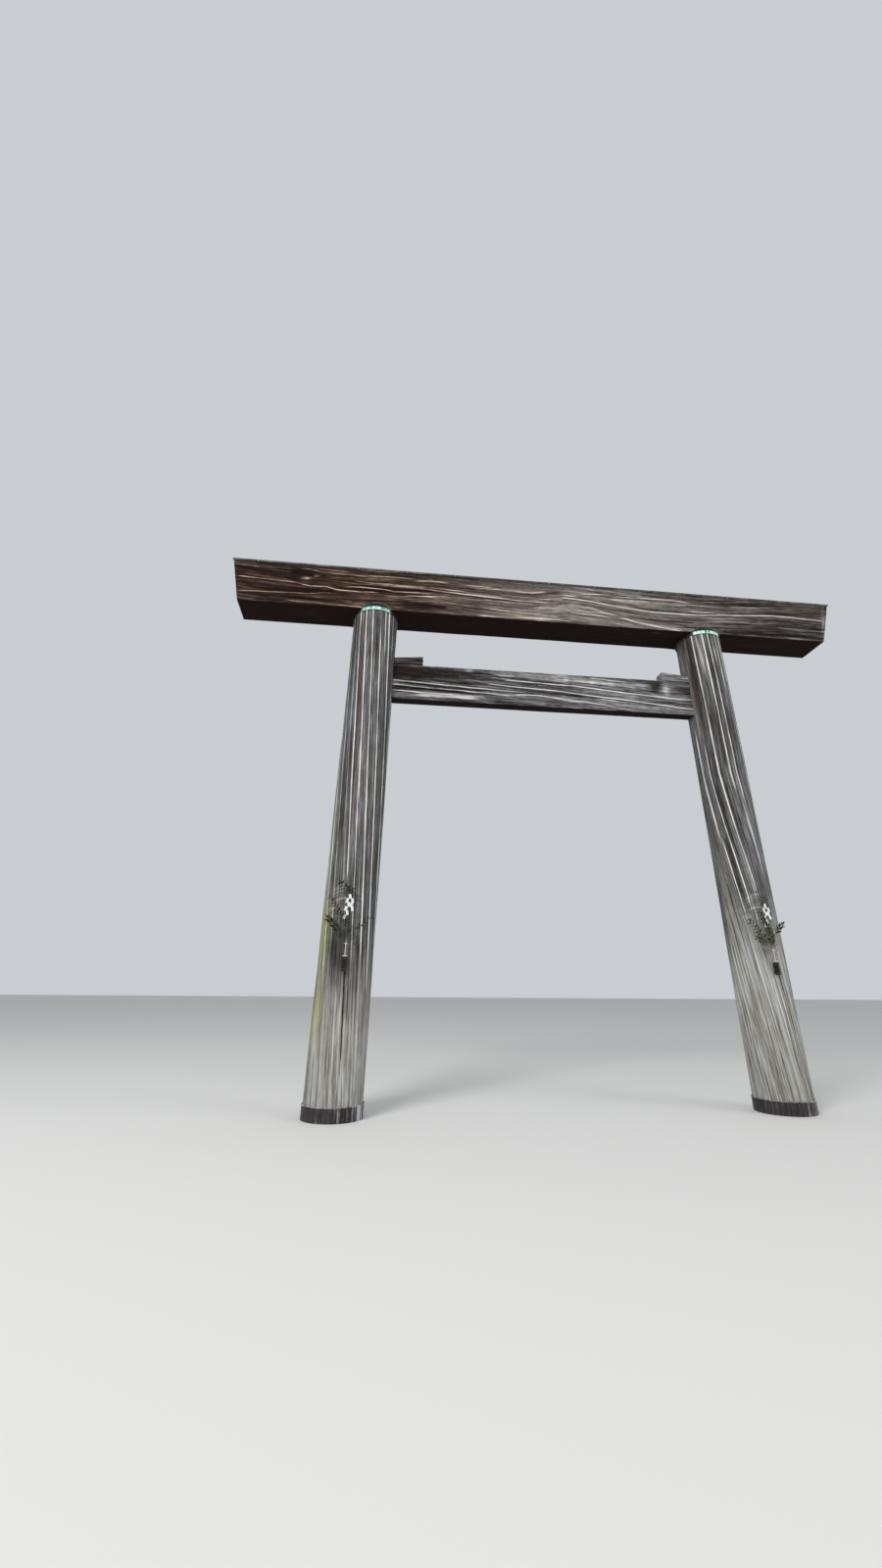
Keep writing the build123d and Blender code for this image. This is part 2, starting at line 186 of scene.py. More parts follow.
def points_of(piece):
    points = np.zeros(len(piece.data.vertices) * 3)
    piece.data.vertices.foreach_get("co", points)
    return points.reshape(-1, 3)


def set_points(piece, points):
    piece.data.vertices.foreach_set("co", points.ravel())
    piece.data.update()


def triples(first, second, third):
    """Points or vectors from their three parts, of which some may be a single number."""
    return np.stack(np.broadcast_arrays(first, second, third), 1)


def note(piece, name, values):
    """Stores a value or a vector for each point, which the piece's material reads."""
    kind, field = ("FLOAT_VECTOR", "vector") if values.ndim == 2 else ("FLOAT", "value")
    layer = piece.data.attributes.new(name, kind, "POINT")
    layer.data.foreach_set(field, values.ravel())


def wander(*place):
    """Smooth values between about -1 and 1 that drift from place to place."""
    places = np.broadcast(*place)
    return np.array([noise.noise(Vector(spot)) for spot in places]).reshape(places.shape)


def ridge(distance, half_width):
    """A narrow crest with steep sides."""
    return np.exp(-np.abs(distance / half_width) ** 2.6)


def within(value, low, high, fade):
    """1 between two places, fading to 0 at each."""
    return np.clip(np.minimum(value - low, high - value) / fade, 0, 1)


def patches(across, along, stains):
    """How strongly soft-edged patches cover each point: each has a centre, two half sizes and a strength.
    """
    cover = np.zeros(np.broadcast(across, along).shape)
    for across_at, along_at, half_across, half_along, strength in stains:
        away = ((across - across_at) / half_across) ** 2 + ((along - along_at) / half_along) ** 2
        cover += strength * np.exp(-away)
    return np.clip(cover, 0, 1)


def axis_at(side, height):
    """Where the middle of the left (-1) or right (1) column is at a height."""
    return side * (log_foot_x + (log_head_x - log_foot_x) * height / log_height)


def weathered_log(facts):
    """Depth and paleness of a log's skin, by level and by bearing along the grain."""
    seed, smooth_below = facts["seed"], facts["smooth_below"]
    chance = random.Random(seed)
    ribs = list(facts["ribs"])
    bearing, last = facts["spare"]
    while bearing < last:
        high = chance.choice((8.6, 8.6, chance.uniform(4, 8)))
        low = chance.uniform(0.8, high - 2)
        strength = chance.uniform(0.5, 1)
        ribs.append((bearing, high, low, strength, chance.uniform(0.009, 0.014)))
        bearing += chance.uniform(11, 18)
    bearings = (np.arange(log_sides) * 360 / log_sides)[None, :]
    heights = np.linspace(0, log_height, log_levels + 1)[:, None]

    def aside(bearing, number):
        """Distance sideways from a line up the log, which sways a little."""
        sway = log_sway * wander(number * 3.7, heights * 0.5, seed)
        return np.radians((bearings - bearing + 180) % 360 - 180) * log_mean_radius + sway

    crest = np.zeros((log_levels + 1, log_sides))
    groove, check = crest.copy(), crest.copy()
    for number, (bearing, high, low, strength, half_width) in enumerate(ribs):
        away = aside(bearing, number)
        swell = 0.95 + 0.35 * wander(number * 5.1, heights * 0.8, 20 + seed)
        runs_on = 0.5 if high > log_height else 0
        present = strength * within(heights, low, high + runs_on, 0.35)
        rib = ridge(away, half_width * swell)
        crest = np.maximum(crest, np.clip(present * (0.8 + 0.2 * swell), 0, 1) * rib)
        beside = sum(share * ridge(away + hand * (half_width + gap), half_groove)
                     for hand, gap, half_groove, share in rib_grooves)
        groove = np.maximum(groove, present * beside)
    for number, (bearing, high, low, half_width, deep) in enumerate(facts["checks"]):
        narrowing = half_width * (0.4 + 0.8 * np.clip((heights - low) / (high - low), 0, 1))
        gape = np.clip(1.6 - 1.6 * np.abs(aside(bearing, 60 + number)) / narrowing, 0, 1)
        check = np.maximum(check, within(heights, low, high, 0.1) * gape * deep)
    ripple = wander(bearings * 0.5, heights * 0.25, 7 + seed)
    broad = wander(bearings * 0.04, heights * 0.35, 17 + seed)
    worn = np.interp(heights, (smooth_below - 0.9, smooth_below + 0.6), (0.3, 1))
    carved = -log_hollow * (1 - crest) - log_groove * groove + log_ripple * ripple
    depth = np.minimum(worn * carved + log_wave * broad - log_wave, 0) - log_skin - check
    front = (bearings + 180) % 360 - 180
    # Pale ribs; the grooves beside them are darkened as painted shadow.
    pale = 0.36 + 0.66 * crest * (0.7 + 0.3 * worn) - 0.26 * groove * (0.3 + 0.7 * worn)
    pale = pale + 0.10 * ripple + 0.10 * broad
    pale = pale + patches(front, heights, facts["light"]) - patches(front, heights, facts["dark"])
    pale = pale - 0.6 * np.clip(check / 0.006, 0, 1)
    return bearings[0], heights[:, 0], depth, np.clip(pale, 0, 1)


def raise_log(name, facts):
    """One column: a cylinder turned along its grain, with the weathered skin, at its place."""
    piece = new_piece(bpy.ops.mesh.primitive_cylinder_add, name + "_log",
                      vertices=log_sides, radius=1, depth=1, location=(0, 0, 0.5))
    divide_along(piece, 2, log_levels // 2 - 1)
    divide_along(piece, 2, 1)
    bearings, heights, depth, pale = weathered_log(facts)
    unit = points_of(piece)
    turned = np.degrees(np.arctan2(unit[:, 0], -unit[:, 1]))
    column = np.round(turned / 360 * log_sides).astype(int) % log_sides
    row = np.round(unit[:, 2] * log_levels).astype(int)
    z = heights[row]
    grain = bearings[column]
    bearing = np.radians(grain + np.interp(z, *zip(*facts["turn"])))
    radius = log_foot_radius + (log_head_radius - log_foot_radius) * z / log_height + depth[row, column]
    x, y = axis_at(facts["side"], z) + radius * np.sin(bearing), -radius * np.cos(bearing)
    set_points(piece, triples(x, y, z))
    grain = np.radians(grain)
    note(piece, "grain", triples(np.sin(grain) * log_mean_radius, np.cos(grain) * log_mean_radius, z))
    note(piece, "pale", pale[row, column])
    front = (np.degrees(bearing) + 180) % 360 - 180
    foot = np.interp(z, (facts["smooth_below"] - 0.8, facts["smooth_below"] + 0.5), (1, 0))
    note(piece, "wear", triples(foot, patches(front, z, facts["moss"]), patches(front, z, facts["brown"])))
    sideways, upwards = np.radians(front) * radius, z - sprig_middle
    swept = patches(front, z, facts["brushed"])
    note(piece, "brushed", triples(np.hypot(sideways, upwards), np.arctan2(sideways, upwards), swept))
    smooth(piece, 50)
    return piece


class Finish:
    """A material of the gate, and the few kinds of node that its colours and fine relief are made with."""

    def __init__(self, name, roughness, specular=0.5, metallic=0.0):
        self.material = bpy.data.materials.new(name)
        self.material.use_nodes = True
        self.shader = self.material.node_tree.nodes["Principled BSDF"]
        self.shader.inputs["Roughness"].default_value = roughness
        self.shader.inputs["Specular IOR Level"].default_value = specular
        self.shader.inputs["Metallic"].default_value = metallic

    def node(self, kind, inputs, **settings):
        """A node whose inputs are numbers or what other nodes give."""
        node = self.material.node_tree.nodes.new("ShaderNode" + kind)
        for setting, value in settings.items():
            setattr(node, setting, value)
        for socket, value in inputs.items():
            if isinstance(value, bpy.types.NodeSocket):
                self.material.node_tree.links.new(value, node.inputs[socket])
            else:
                node.inputs[socket].default_value = value
        return node

    def place(self):
        """Where each spot is on the gate."""
        return self.node("TexCoord", {}).outputs["Object"]

    def noted(self, name, kind):
        """What was noted for the piece's points."""
        return self.node("Attribute", {}, attribute_name=name).outputs[kind]

    def parts(self, vector):
        return self.node("SeparateXYZ", {0: vector}).outputs

    def math(self, operation, *values, clamp=False):
        return self.node("Math", dict(enumerate(values)), operation=operation, use_clamp=clamp).outputs[0]

    def mix(self, share, first, second, blend="MIX"):
        inputs = {0: share, 6: first, 7: second}
        return self.node("Mix", inputs, data_type="RGBA", blend_type=blend).outputs[2]

    def cloud(self, vector, scales, detail, roughness):
        """Noise from 0 to 1, stretched by three scales along the axes of a vector."""
        placed = self.node("Mapping", {"Vector": vector, "Scale": scales}).outputs["Vector"]
        return self.node("TexNoise", {
            "Vector": placed, "Scale": 1, "Detail": detail, "Roughness": roughness}).outputs["Fac"]

    def swing(self, vector, scales, detail, roughness, reach):
        """The same noise, swinging about 0 by half its reach."""
        return self.math("MULTIPLY_ADD", self.cloud(vector, scales, detail, roughness), reach, -reach / 2)

    def ramp(self, source, stops):
        """Colours from the first stop to the last."""
        ramp = self.node("ValToRGB", {"Fac": source})
        elements = ramp.color_ramp.elements
        elements[0].position, elements[0].color = stops[0]
        elements[1].position, elements[1].color = stops[-1]
        for position, colour in stops[1:-1]:
            elements.new(position).color = colour
        return ramp.outputs["Color"]

    def done(self, colour, height=None, strength=0.0, distance=0.0):
        """Puts the colour, and the relief if there is one, on the surface."""
        links = self.material.node_tree.links
        links.new(colour, self.shader.inputs["Base Color"])
        if height is not None:
            bump = self.node("Bump", {"Strength": strength, "Distance": distance, "Height": height})
            links.new(bump.outputs["Normal"], self.shader.inputs["Normal"])
        return self.material


def weathered_timber(name, tones, worn_tones, moss_tone, brown_tone, dashes):
    """Old bare timber: dark grooves to pale ribs, streaked along the grain, stained and mossy in places."""
    timber = Finish(name, roughness=0.88, specular=0.1)
    grain = timber.noted("grain", "Vector")
    height = timber.noted("pale", "Fac")
    # Streaks, broad bands, fibres and short dashes: scales, detail, roughness and reach of each
    for texture in (
        ((46, 46, 1.1), 5, 0.7, 1.3),
        ((30, 30, 0.8), 4, 0.65, 0.5),
        ((170, 170, 4), 4, 0.65, 0.6),
        ((62, 62, 5), 3, 0.6, dashes),
    ):
        height = timber.math("ADD", height, timber.swing(grain, *texture))
    # Dark splits along the grain, and broad changes of shade
    split = timber.cloud(grain, (34, 34, 0.5), 2, 0.5)
    crack = timber.math("MULTIPLY_ADD", split, -12.0, 4.7, clamp=True)
    height = timber.math("MULTIPLY_ADD", crack, -0.2, height)
    shade = timber.math("ADD", height, timber.swing(grain, (4, 4, 0.9), 5, 0.7, 0.5))
    # Arcs that the swinging sprig has brushed into the log
    brushed = timber.noted("brushed", "Vector")
    arcs = timber.math("MULTIPLY_ADD", timber.cloud(brushed, (58, 2.2, 0), 3, 0.7), 1.5, -0.70)
    shade = timber.math("MULTIPLY_ADD", arcs, timber.parts(brushed)["Z"], shade)
    # Where the timber is worn it has other tones. Brown and mossy stains lie over them, with ragged edges
    worn, mossy, browned = timber.parts(timber.noted("wear", "Vector"))
    colour = timber.mix(worn, timber.ramp(shade, tones), timber.ramp(shade, worn_tones))
    speck = timber.math("MULTIPLY_ADD", timber.cloud(grain, (24, 24, 7), 6, 0.75), 2.6, -0.65)
    brown = timber.math("MINIMUM", timber.math("MULTIPLY", browned, speck), 0.85)
    dull_brown = timber.mix(0.55, colour, brown_tone)
    deep_brown = timber.mix(0.6, brown_tone, dull_brown, "MULTIPLY")
    colour = timber.mix(brown, colour, timber.mix(0.35, dull_brown, deep_brown))
    ragged = timber.math("MULTIPLY_ADD", speck, 1.5, -0.35, clamp=True)
    moss = timber.math("MINIMUM", timber.math("MULTIPLY", mossy, ragged), 0.85)
    colour = timber.mix(moss, colour, timber.mix(0.7, colour, moss_tone))
    return timber.done(colour, height, strength=0.7, distance=0.004)


column_timber = weathered_timber(
    "column_timber",
    tones=((0.0, tone(28, 25, 23)), (0.2, tone(55, 53, 51)), (0.42, tone(92, 91, 91)),
           (0.6, tone(130, 129, 128)), (0.8, tone(180, 178, 175)), (1.0, tone(226, 223, 218))),
    worn_tones=((0.05, tone(62, 56, 48)), (0.25, tone(116, 113, 106)), (0.42, tone(150, 149, 144)),
                (0.65, tone(182, 182, 178)), (0.95, tone(216, 216, 212))),
    moss_tone=tone(152, 152, 74),
    brown_tone=tone(104, 82, 68),
    dashes=0.2,
)
for name, facts in log_facts.items():
    piece = raise_log(name, facts)
    piece.data.materials.append(column_timber)
    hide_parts(name)
    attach(piece, "root")


# ---- Tie beam ----
# The tie beam is a thick plank on edge, cut square from one tree, that runs into a mortise in each
# column. Its grain slopes down to the right in long pale lines, and its upper edge is worn rough.
tie_half_length, tie_half_depth = 3.2218, 0.117
tie_low, tie_high = 6.845, 7.565
tie_hollow, tie_groove, tie_ripple, tie_edge_wear = 0.008, 0.006, 0.002, 0.009
grain_sway = 0.007
# Raised grain lines and dark ones: their points along the beam and up, half width and strength
tie_lines = (
    (((-0.83, 7.358), (0, 7.333), (0.53, 7.325), (1.1, 7.283), (1.67, 7.233), (2.33, 7.192),
      (3.0, 7.155)), 0.011, 1.0),
    (((-1.15, 7.262), (-0.53, 7.225), (0.2, 7.192), (0.93, 7.133), (1.67, 7.083), (2.27, 7.025),
      (3.0, 6.96)), 0.011, 1.0),
    (((-3.0, 7.23), (-1.9, 7.175), (-1.13, 7.142), (-0.37, 7.117)), 0.010, 0.95),
    (((-3.0, 7.137), (-2.0, 7.092), (-1.27, 7.067), (-0.67, 7.03)), 0.010, 0.95),
    (((-3.0, 7.02), (-2.5, 7.0), (-1.73, 6.98)), 0.010, 0.8),
    (((-0.65, 7.062), (-0.13, 7.075), (0.2, 7.033), (0.67, 7.0), (1.36, 6.93)), 0.010, 0.9),
    (((-1.02, 7.455), (-0.6, 7.445)), 0.018, 0.6), (((-2.4, 7.56), (-1.7, 7.535)), 0.010, 0.6),
    (((0.9, 7.08), (1.5, 7.03)), 0.016, 0.4), (((-2.5, 6.95), (-1.3, 6.945)), 0.030, 0.4),
)
tie_dark_lines = (
    (((-0.75, 7.385), (0.6, 7.352), (1.7, 7.262), (2.2, 7.225)), 0.011, 0.8),
    (((-0.9, 7.215), (-0.2, 7.165), (0.5, 7.12), (1.1, 7.08)), 0.016, 0.7),
    (((-2.9, 7.195), (-1.9, 7.145), (-1.2, 7.108)), 0.014, 0.9),
    (((-2.9, 7.10), (-2.0, 7.058), (-1.0, 7.03)), 0.014, 0.9),
    (((-2.9, 7.052), (-2.3, 7.035)), 0.010, 0.6), (((-2.9, 7.27), (-1.4, 7.23)), 0.016, 0.6),
    (((-2.0, 6.905), (-0.6, 6.90)), 0.012, 0.6), (((-0.6, 6.99), (0.3, 6.95)), 0.012, 0.5),
)
# The smoother upper part of the front: the height of its middle along the beam, and its reach
tie_smooth_line = ((-0.8, 0.5, 1.7, 3.0), (7.48, 7.46, 7.40, 7.34))
tie_smooth_reach = ((0.8, 0, 1.5, 0.075, 1.0),)
# Stains: place along the beam and up, half sizes and strength
tie_dark_stains = (
    (-2.4, 7.42, 1.5, 0.15, 0.46), (2.2, 7.43, 0.11, 0.11, 0.6), (-2.4, 7.08, 0.9, 0.06, 0.18),
    (2.8, 7.38, 0.25, 0.10, 0.28), (0, 6.87, 4, 0.03, 0.10),
)
tie_light_stains = (
    (-2.0, 6.94, 0.9, 0.05, 0.20), (1.2, 6.95, 1.6, 0.07, 0.08), (-1.66, 7.41, 0.012, 0.11, 0.35),
    (-1.48, 7.52, 0.09, 0.04, 0.3), (2.42, 7.36, 0.06, 0.12, 0.25), (2.3, 7.18, 0.7, 0.03, 0.05),
)
tie_moss_stains = ((2.17, 7.46, 0.10, 0.10, 0.5), (1.0, 7.50, 1.4, 0.05, 0.16))
tie_brown_stains = (
    (-2.2, 7.42, 1.0, 0.12, 0.45), (2.75, 7.37, 0.22, 0.08, 0.7), (0.9, 6.95, 0.9, 0.06, 0.3),
)


def along_line(x, height, line, seed, number):
    """How far each point lies above a line, and how much of the line is there."""
    places, levels = zip(*line)
    bends = np.arange(14)
    sways = grain_sway * wander(number, bends * 0.6, seed)
    sway = np.interp(x, np.linspace(places[0], places[-1], len(bends)), sways)
    return height - np.interp(x, places, levels) - sway, within(x, places[0], places[-1], 0.12)


def weathered_face(x, height, lines, dark_lines, seed, slope, spare):
    """Crests and grooves of a board's face: the given grain lines, and spare ones at random on a slope."""
    chance = random.Random(seed)
    reach, low, high = np.abs(x).max(), height.min(), height.max()
    crest, groove = np.zeros_like(x), np.zeros_like(x)
    raised, dug = list(lines), list(dark_lines)
    for number in range(spare):
        start = chance.uniform(-reach, reach * 0.85)
        length = chance.uniform(0.5, 2.2)
        level = chance.uniform(low, high)
        line = ((start, level), (start + length, level + slope * length))
        half_width = chance.uniform(0.006, 0.011)
        (raised if number % 2 else dug).append((line, half_width, chance.uniform(0.25, 0.7)))
    for number, (line, half_width, strength) in enumerate(raised):
        away, present = along_line(x, height, line, seed, number)
        crest = np.maximum(crest, strength * present * ridge(away, half_width))
        # Below each raised line runs a groove: carved, and darkened as painted shadow under the crest.
        beside = ridge(away + half_width * 2.1, half_width * 0.8)
        groove = np.maximum(groove, 0.7 * strength * present * beside)
    for number, (line, half_width, strength) in enumerate(dug):
        away, present = along_line(x, height, line, seed, 100 + number)
        groove = np.maximum(groove, strength * present * ridge(away, half_width))
    return crest, groove


def shape_board(name, half_length, half_depth, low, high, cuts_along, cuts_up, cuts_deep):
    """A plain board with enough points for its weathered skin."""
    piece = new_piece(bpy.ops.mesh.primitive_cube_add, name, size=2, location=(0, 0, 0))
    for axis, cuts in ((0, cuts_along), (2, cuts_up), (1, cuts_deep)):
        for count in cuts:
            divide_along(piece, axis, count)
    points = points_of(piece) * (half_length, half_depth, (high - low) / 2)
    points[:, 2] += (high + low) / 2
    return piece, points


piece, points = shape_board("tie_beam_timber", tie_half_length, tie_half_depth, tie_low, tie_high,
                            cuts_along=(59, 2), cuts_up=(59, 1), cuts_deep=(19,))
x, y, z = points.T
on_front, on_back = np.isclose(y, -tie_half_depth), np.isclose(y, tie_half_depth)
on_top, on_bottom = np.isclose(z, tie_high), np.isclose(z, tie_low)
crest, groove = weathered_face(x, z, tie_lines, tie_dark_lines, seed=5, slope=-0.06, spare=16)
back_crest, back_groove = weathered_face(x, z, (), (), seed=6, slope=0.05, spare=70)
edge_crest, edge_groove = weathered_face(x, y, (), (), seed=9, slope=0.01, spare=30)
crest = np.where(on_top | on_bottom, edge_crest, np.where(on_back, back_crest, crest))
groove = np.where(on_top | on_bottom, edge_groove, np.where(on_back, back_groove, groove))
ripple = wander(x * 0.7, y * 20, z * 26)
smoothed = patches(x, z - np.interp(x, *tie_smooth_line), tie_smooth_reach) * on_front
depth = (tie_hollow * (1 - crest) + tie_groove * groove - tie_ripple * ripple) * (1 - 0.7 * smoothed)
before_tenon = np.clip((tie_half_length - 0.2 - np.abs(x)) / 0.1 + 1, 0.2, 1)
depth = np.maximum(depth, 0) * before_tenon
ragged = (wander(x * 5, 3, 1) + 0.6 * wander(x * 17, 5, 1)) * tie_edge_wear + 0.008
y = y - np.sign(y) * np.where(on_front | on_back, depth, 0)
z = z - np.where(on_top, depth + np.maximum(ragged, 0), 0) + np.where(on_bottom, depth, 0)
set_points(piece, triples(x, y, z))
note(piece, "grain", triples(z + 0.06 * x, y, x))
drips = smoothed * wander(x * 9, z * 1.5, 4)
# The grooves are darkened as painted shadow under the raised lines.
pale = 0.39 + 0.62 * crest - 0.32 * groove + 0.16 * ripple - patches(x, z, tie_dark_stains)
# The underside is painted near-black as shade, below the darkest tone (hence the clip at -0.3), and tinted
# brown.
pale = pale + 0.30 * smoothed + patches(x, z, tie_light_stains) - 0.95 * on_bottom + 0.16 * drips
note(piece, "pale", np.clip(pale, -0.3, 1))
brown = np.where(on_bottom, 0.6, patches(x, z, tie_brown_stains))
note(piece, "wear", triples(0, patches(x, z, tie_moss_stains), brown))
smooth(piece, 40)
tie_timber = weathered_timber(
    "tie_timber",
    tones=((0.0, tone(15, 9, 9)), (0.2, tone(42, 39, 39)), (0.42, tone(88, 86, 86)),
           (0.6, tone(132, 131, 130)), (0.8, tone(176, 174, 173)), (1.0, tone(216, 214, 212))),
    worn_tones=((0.0, tone(84, 80, 72)), (1.0, tone(206, 204, 196))),
    moss_tone=tone(78, 84, 62),
    brown_tone=tone(62, 46, 40),
    dashes=0.7,
)
piece.data.materials.append(tie_timber)
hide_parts("tie_beam")
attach(piece, "root")


# ---- Wedges over the tie beam ----
# A tapering block is driven in over each end of the tie beam and locks it in its mortise. It is cut from
# the same timber: thick at its free end, thinner at the column.
wedge_half_depth, wedge_taper, wedge_thickness = 0.115, 0.44, 0.19
wedge_hollow, wedge_groove, wedge_ripple, wedge_end_wear = 0.006, 0.005, 0.002, 0.004
for side, name, paleness in ((-1, "left_wedge", 0.10), (1, "right_wedge", 0.52)):
    low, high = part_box(name)
    piece, points = shape_board(name + "_timber", 1, wedge_half_depth, 0, 1,
                                cuts_along=(39,), cuts_up=(23,), cuts_deep=(17,))
    share, y, up = (points[:, 0] + 1) / 2, points[:, 1], points[:, 2]
    from_free_end = share if side == 1 else 1 - share
    x = low.x + (high.x - low.x) * share
    z = tie_high + up * ((high.z - low.z) * (1 - wedge_taper * from_free_end) - 0.002)
    along, across = x - x.mean(), up * wedge_thickness
    crest, groove = weathered_face(along, across, (), (), seed=21 + side, slope=0.02 * side, spare=24)
    back_crest, back_groove = weathered_face(along, across, (), (), seed=24 + side, slope=0.02, spare=24)
    crest, groove = np.where(y > 0, back_crest, crest), np.where(y > 0, back_groove, groove)
    ripple = wander(x * 2, y * 22, z * 30)
    depth = np.maximum(wedge_hollow * (1 - crest) + wedge_groove * groove - wedge_ripple * ripple, 0)
    x = x + side * np.where(np.isclose(from_free_end, 0), wedge_end_wear * (1 + ripple), 0)
    y = y - np.sign(y) * np.where(np.isclose(np.abs(y), wedge_half_depth), depth, 0)
    z = z - np.where(np.isclose(up, 1), depth, 0)
    set_points(piece, triples(x, y, z))
    note(piece, "grain", triples(z, y, x))
    # The grooves are darkened as painted shadow.
    note(piece, "pale", np.clip(paleness + 0.6 * crest - 0.4 * groove + 0.2 * ripple, 0, 1))
    note(piece, "wear", triples(0, 0, np.full_like(x, 0.35)))
    smooth(piece, 40)
    piece.data.materials.append(tie_timber)
    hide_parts(name)
    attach(piece, "root")


# ---- Top beam ----
# The top beam is one great squared log with a five-sided section: its faces lean outwards and its top is
# a low gable. It lies on the column heads. The front is red-brown at the left and grey at the right, with
# long pale raised grain, and each sawn end shows its growth rings.
beam_low, beam_side_height, beam_gable = log_height, 0.78, 0.105
beam_half_bottom, beam_side_lean = 0.331, math.tan(math.radians(12))
beam_half_length, beam_end_lean = 5.835, math.tan(math.radians(8))
beam_hollow, beam_groove, beam_ripple, beam_end_wear = 0.008, 0.007, 0.003, 0.003
# How far from a column's axis the underside and the faces stay plain, over its head and its collar
column_clear, band_clear = 0.47, 0.44
# The line that the front's grain follows, and how pale the front is, from place to place along the beam
beam_flow = ((-5.95, -4.9, -3.2, -2.2, -0.27, 0.4, 1.3, 2.28, 3.15, 4.75, 5.95),
             (0.52, 0.45, 0.40, 0.44, 0.385, 0.49, 0.425, 0.345, 0.352, 0.454, 0.432))
beam_paleness = ((-5.9, -3.5, -2.3, -1.2, 0.3, 1.2, 3.2, 3.9, 4.8, 5.9),
                 (0.18, 0.23, 0.29, 0.40, 0.44, 0.45, 0.39, 0.32, 0.26, 0.23))
beam_greyness = ((-3.0, -1.5, 0.4, 3.0), (0.0, 0.5, 0.85, 1.0))
# Raised grain lines of the front and dark ones: their points along the beam and up from its underside,
# half width and strength
beam_lines = (
    (((-4.75, 0.673), (-4.53, 0.681), (-4.29, 0.635), (-3.59, 0.627), (-3.0, 0.65), (-2.58, 0.642)),
      0.009, 0.9),
    (((-2.6, 0.604), (-2.27, 0.627), (-1.88, 0.62)), 0.016, 0.9),
    (((-4.62, 0.49), (-4.5, 0.53)), 0.022, 1.0), (((-4.5, 0.56), (-4.3, 0.585)), 0.022, 0.8),
    (((-3.74, 0.52), (-3.43, 0.505), (-3.19, 0.497), (-2.9, 0.512)), 0.010, 0.9),
    (((-3.0, 0.50), (-2.6, 0.48), (-2.3, 0.50)), 0.022, 0.6),
    (((-5.9, 0.45), (-5.3, 0.43), (-4.9, 0.413), (-4.71, 0.39), (-4.53, 0.352), (-4.23, 0.367),
      (-4.01, 0.321), (-3.59, 0.314), (-3.2, 0.329)), 0.010, 0.95),
    (((-3.92, 0.382), (-3.62, 0.405), (-3.19, 0.398), (-2.95, 0.367), (-2.58, 0.375), (-2.2, 0.382)),
      0.011, 0.95),
    (((-2.78, 0.298), (-2.49, 0.314), (-2.12, 0.329)), 0.010, 0.85),
    (((-5.9, 0.17), (-4.9, 0.199), (-4.53, 0.207), (-4.29, 0.245), (-4.02, 0.237)), 0.010, 0.9),
    (((-2.33, 0.505), (-1.97, 0.49), (-1.5, 0.467)), 0.010, 0.95),
    (((-2.33, 0.459), (-1.97, 0.436), (-1.42, 0.413), (-0.87, 0.39), (-0.32, 0.375), (0.1, 0.38)),
      0.011, 1.0),
    (((-0.65, 0.543), (-0.3, 0.545), (0.05, 0.59)), 0.014, 0.8),
    (((0.1, 0.54), (0.6, 0.545)), 0.009, 0.6), (((-1.35, 0.02), (-0.4, 0.045), (0.6, 0.05)), 0.014, 0.6),
    (((-1.6, 0.60), (-1.02, 0.595)), 0.012, 0.55),
    (((-1.3, 0.19), (-0.6, 0.14), (0.3, 0.11)), 0.012, 0.5),
    (((0.3, 0.505), (0.62, 0.49), (1.0, 0.46), (1.3, 0.42), (1.77, 0.385), (2.2, 0.35), (2.75, 0.345),
      (3.15, 0.352), (3.6, 0.385), (4.2, 0.43), (4.75, 0.457), (5.2, 0.447), (5.9, 0.425)), 0.012, 1.0),
    (((0.35, 0.56), (0.65, 0.535)), 0.012, 0.8), (((0.65, 0.60), (1.0, 0.62), (1.35, 0.63)), 0.010, 0.9),
    (((1.35, 0.60), (2.05, 0.61), (3.0, 0.60)), 0.010, 0.8), (((2.1, 0.625), (2.9, 0.612)), 0.010, 0.9),
    (((3.73, 0.565), (4.2, 0.59), (4.75, 0.625)), 0.009, 0.95),
    (((1.3, 0.545), (1.9, 0.55), (2.9, 0.53)), 0.024, 0.45),
    (((0.4, 0.23), (0.8, 0.20), (1.25, 0.19)), 0.010, 0.75),
    (((1.45, 0.20), (1.9, 0.11), (2.4, 0.045), (2.8, 0.01)), 0.014, 0.75),
    (((0.4, 0.40), (0.9, 0.34), (1.2, 0.27), (1.5, 0.21)), 0.024, 0.5),
    (((4.9, 0.20), (5.5, 0.19)), 0.012, 0.35),
)
beam_dark_lines = (
    (((0.1, 0.55), (0.9, 0.50), (1.6, 0.42), (2.2, 0.39), (3.1, 0.39)), 0.014, 0.8),
    (((0.9, 0.37), (1.4, 0.25), (2.0, 0.20), (2.7, 0.16)), 0.014, 0.8),
    (((2.6, 0.075), (3.25, 0.09)), 0.014, 1.0),
    (((3.6, 0.05), (4.5, 0.075), (5.4, 0.085), (5.75, 0.08)), 0.034, 1.0),
    (((4.5, 0.49), (5.1, 0.505), (5.8, 0.475)), 0.012, 0.9),
    (((1.9, 0.69), (3.2, 0.67), (4.3, 0.64), (5.0, 0.60)), 0.014, 0.6),
    (((0.4, 0.245), (1.0, 0.215)), 0.012, 0.7), (((-4.9, 0.60), (-4.3, 0.57), (-3.4, 0.60)), 0.016, 0.7),
    (((-4.4, 0.47), (-3.5, 0.45), (-2.7, 0.42)), 0.020, 0.6),
    (((-4.0, 0.36), (-3.3, 0.345), (-2.6, 0.34)), 0.014, 0.7),
    (((-4.9, 0.30), (-4.0, 0.28), (-3.0, 0.25)), 0.020, 0.7),
    (((-2.9, 0.20), (-2.3, 0.15), (-1.9, 0.13)), 0.034, 0.8),
    (((-2.25, 0.478), (-1.5, 0.448)), 0.010, 0.8),
    (((-4.9, 0.11), (-3.9, 0.13), (-3.0, 0.16)), 0.024, 0.6),
    (((-1.8, 0.54), (-1.0, 0.52), (-0.5, 0.50)), 0.010, 0.5),
    (((-1.9, 0.30), (-1.0, 0.27), (-0.2, 0.22)), 0.012, 0.6), (((-1.5, 0.21), (-0.7, 0.17)), 0.010, 0.6),
)
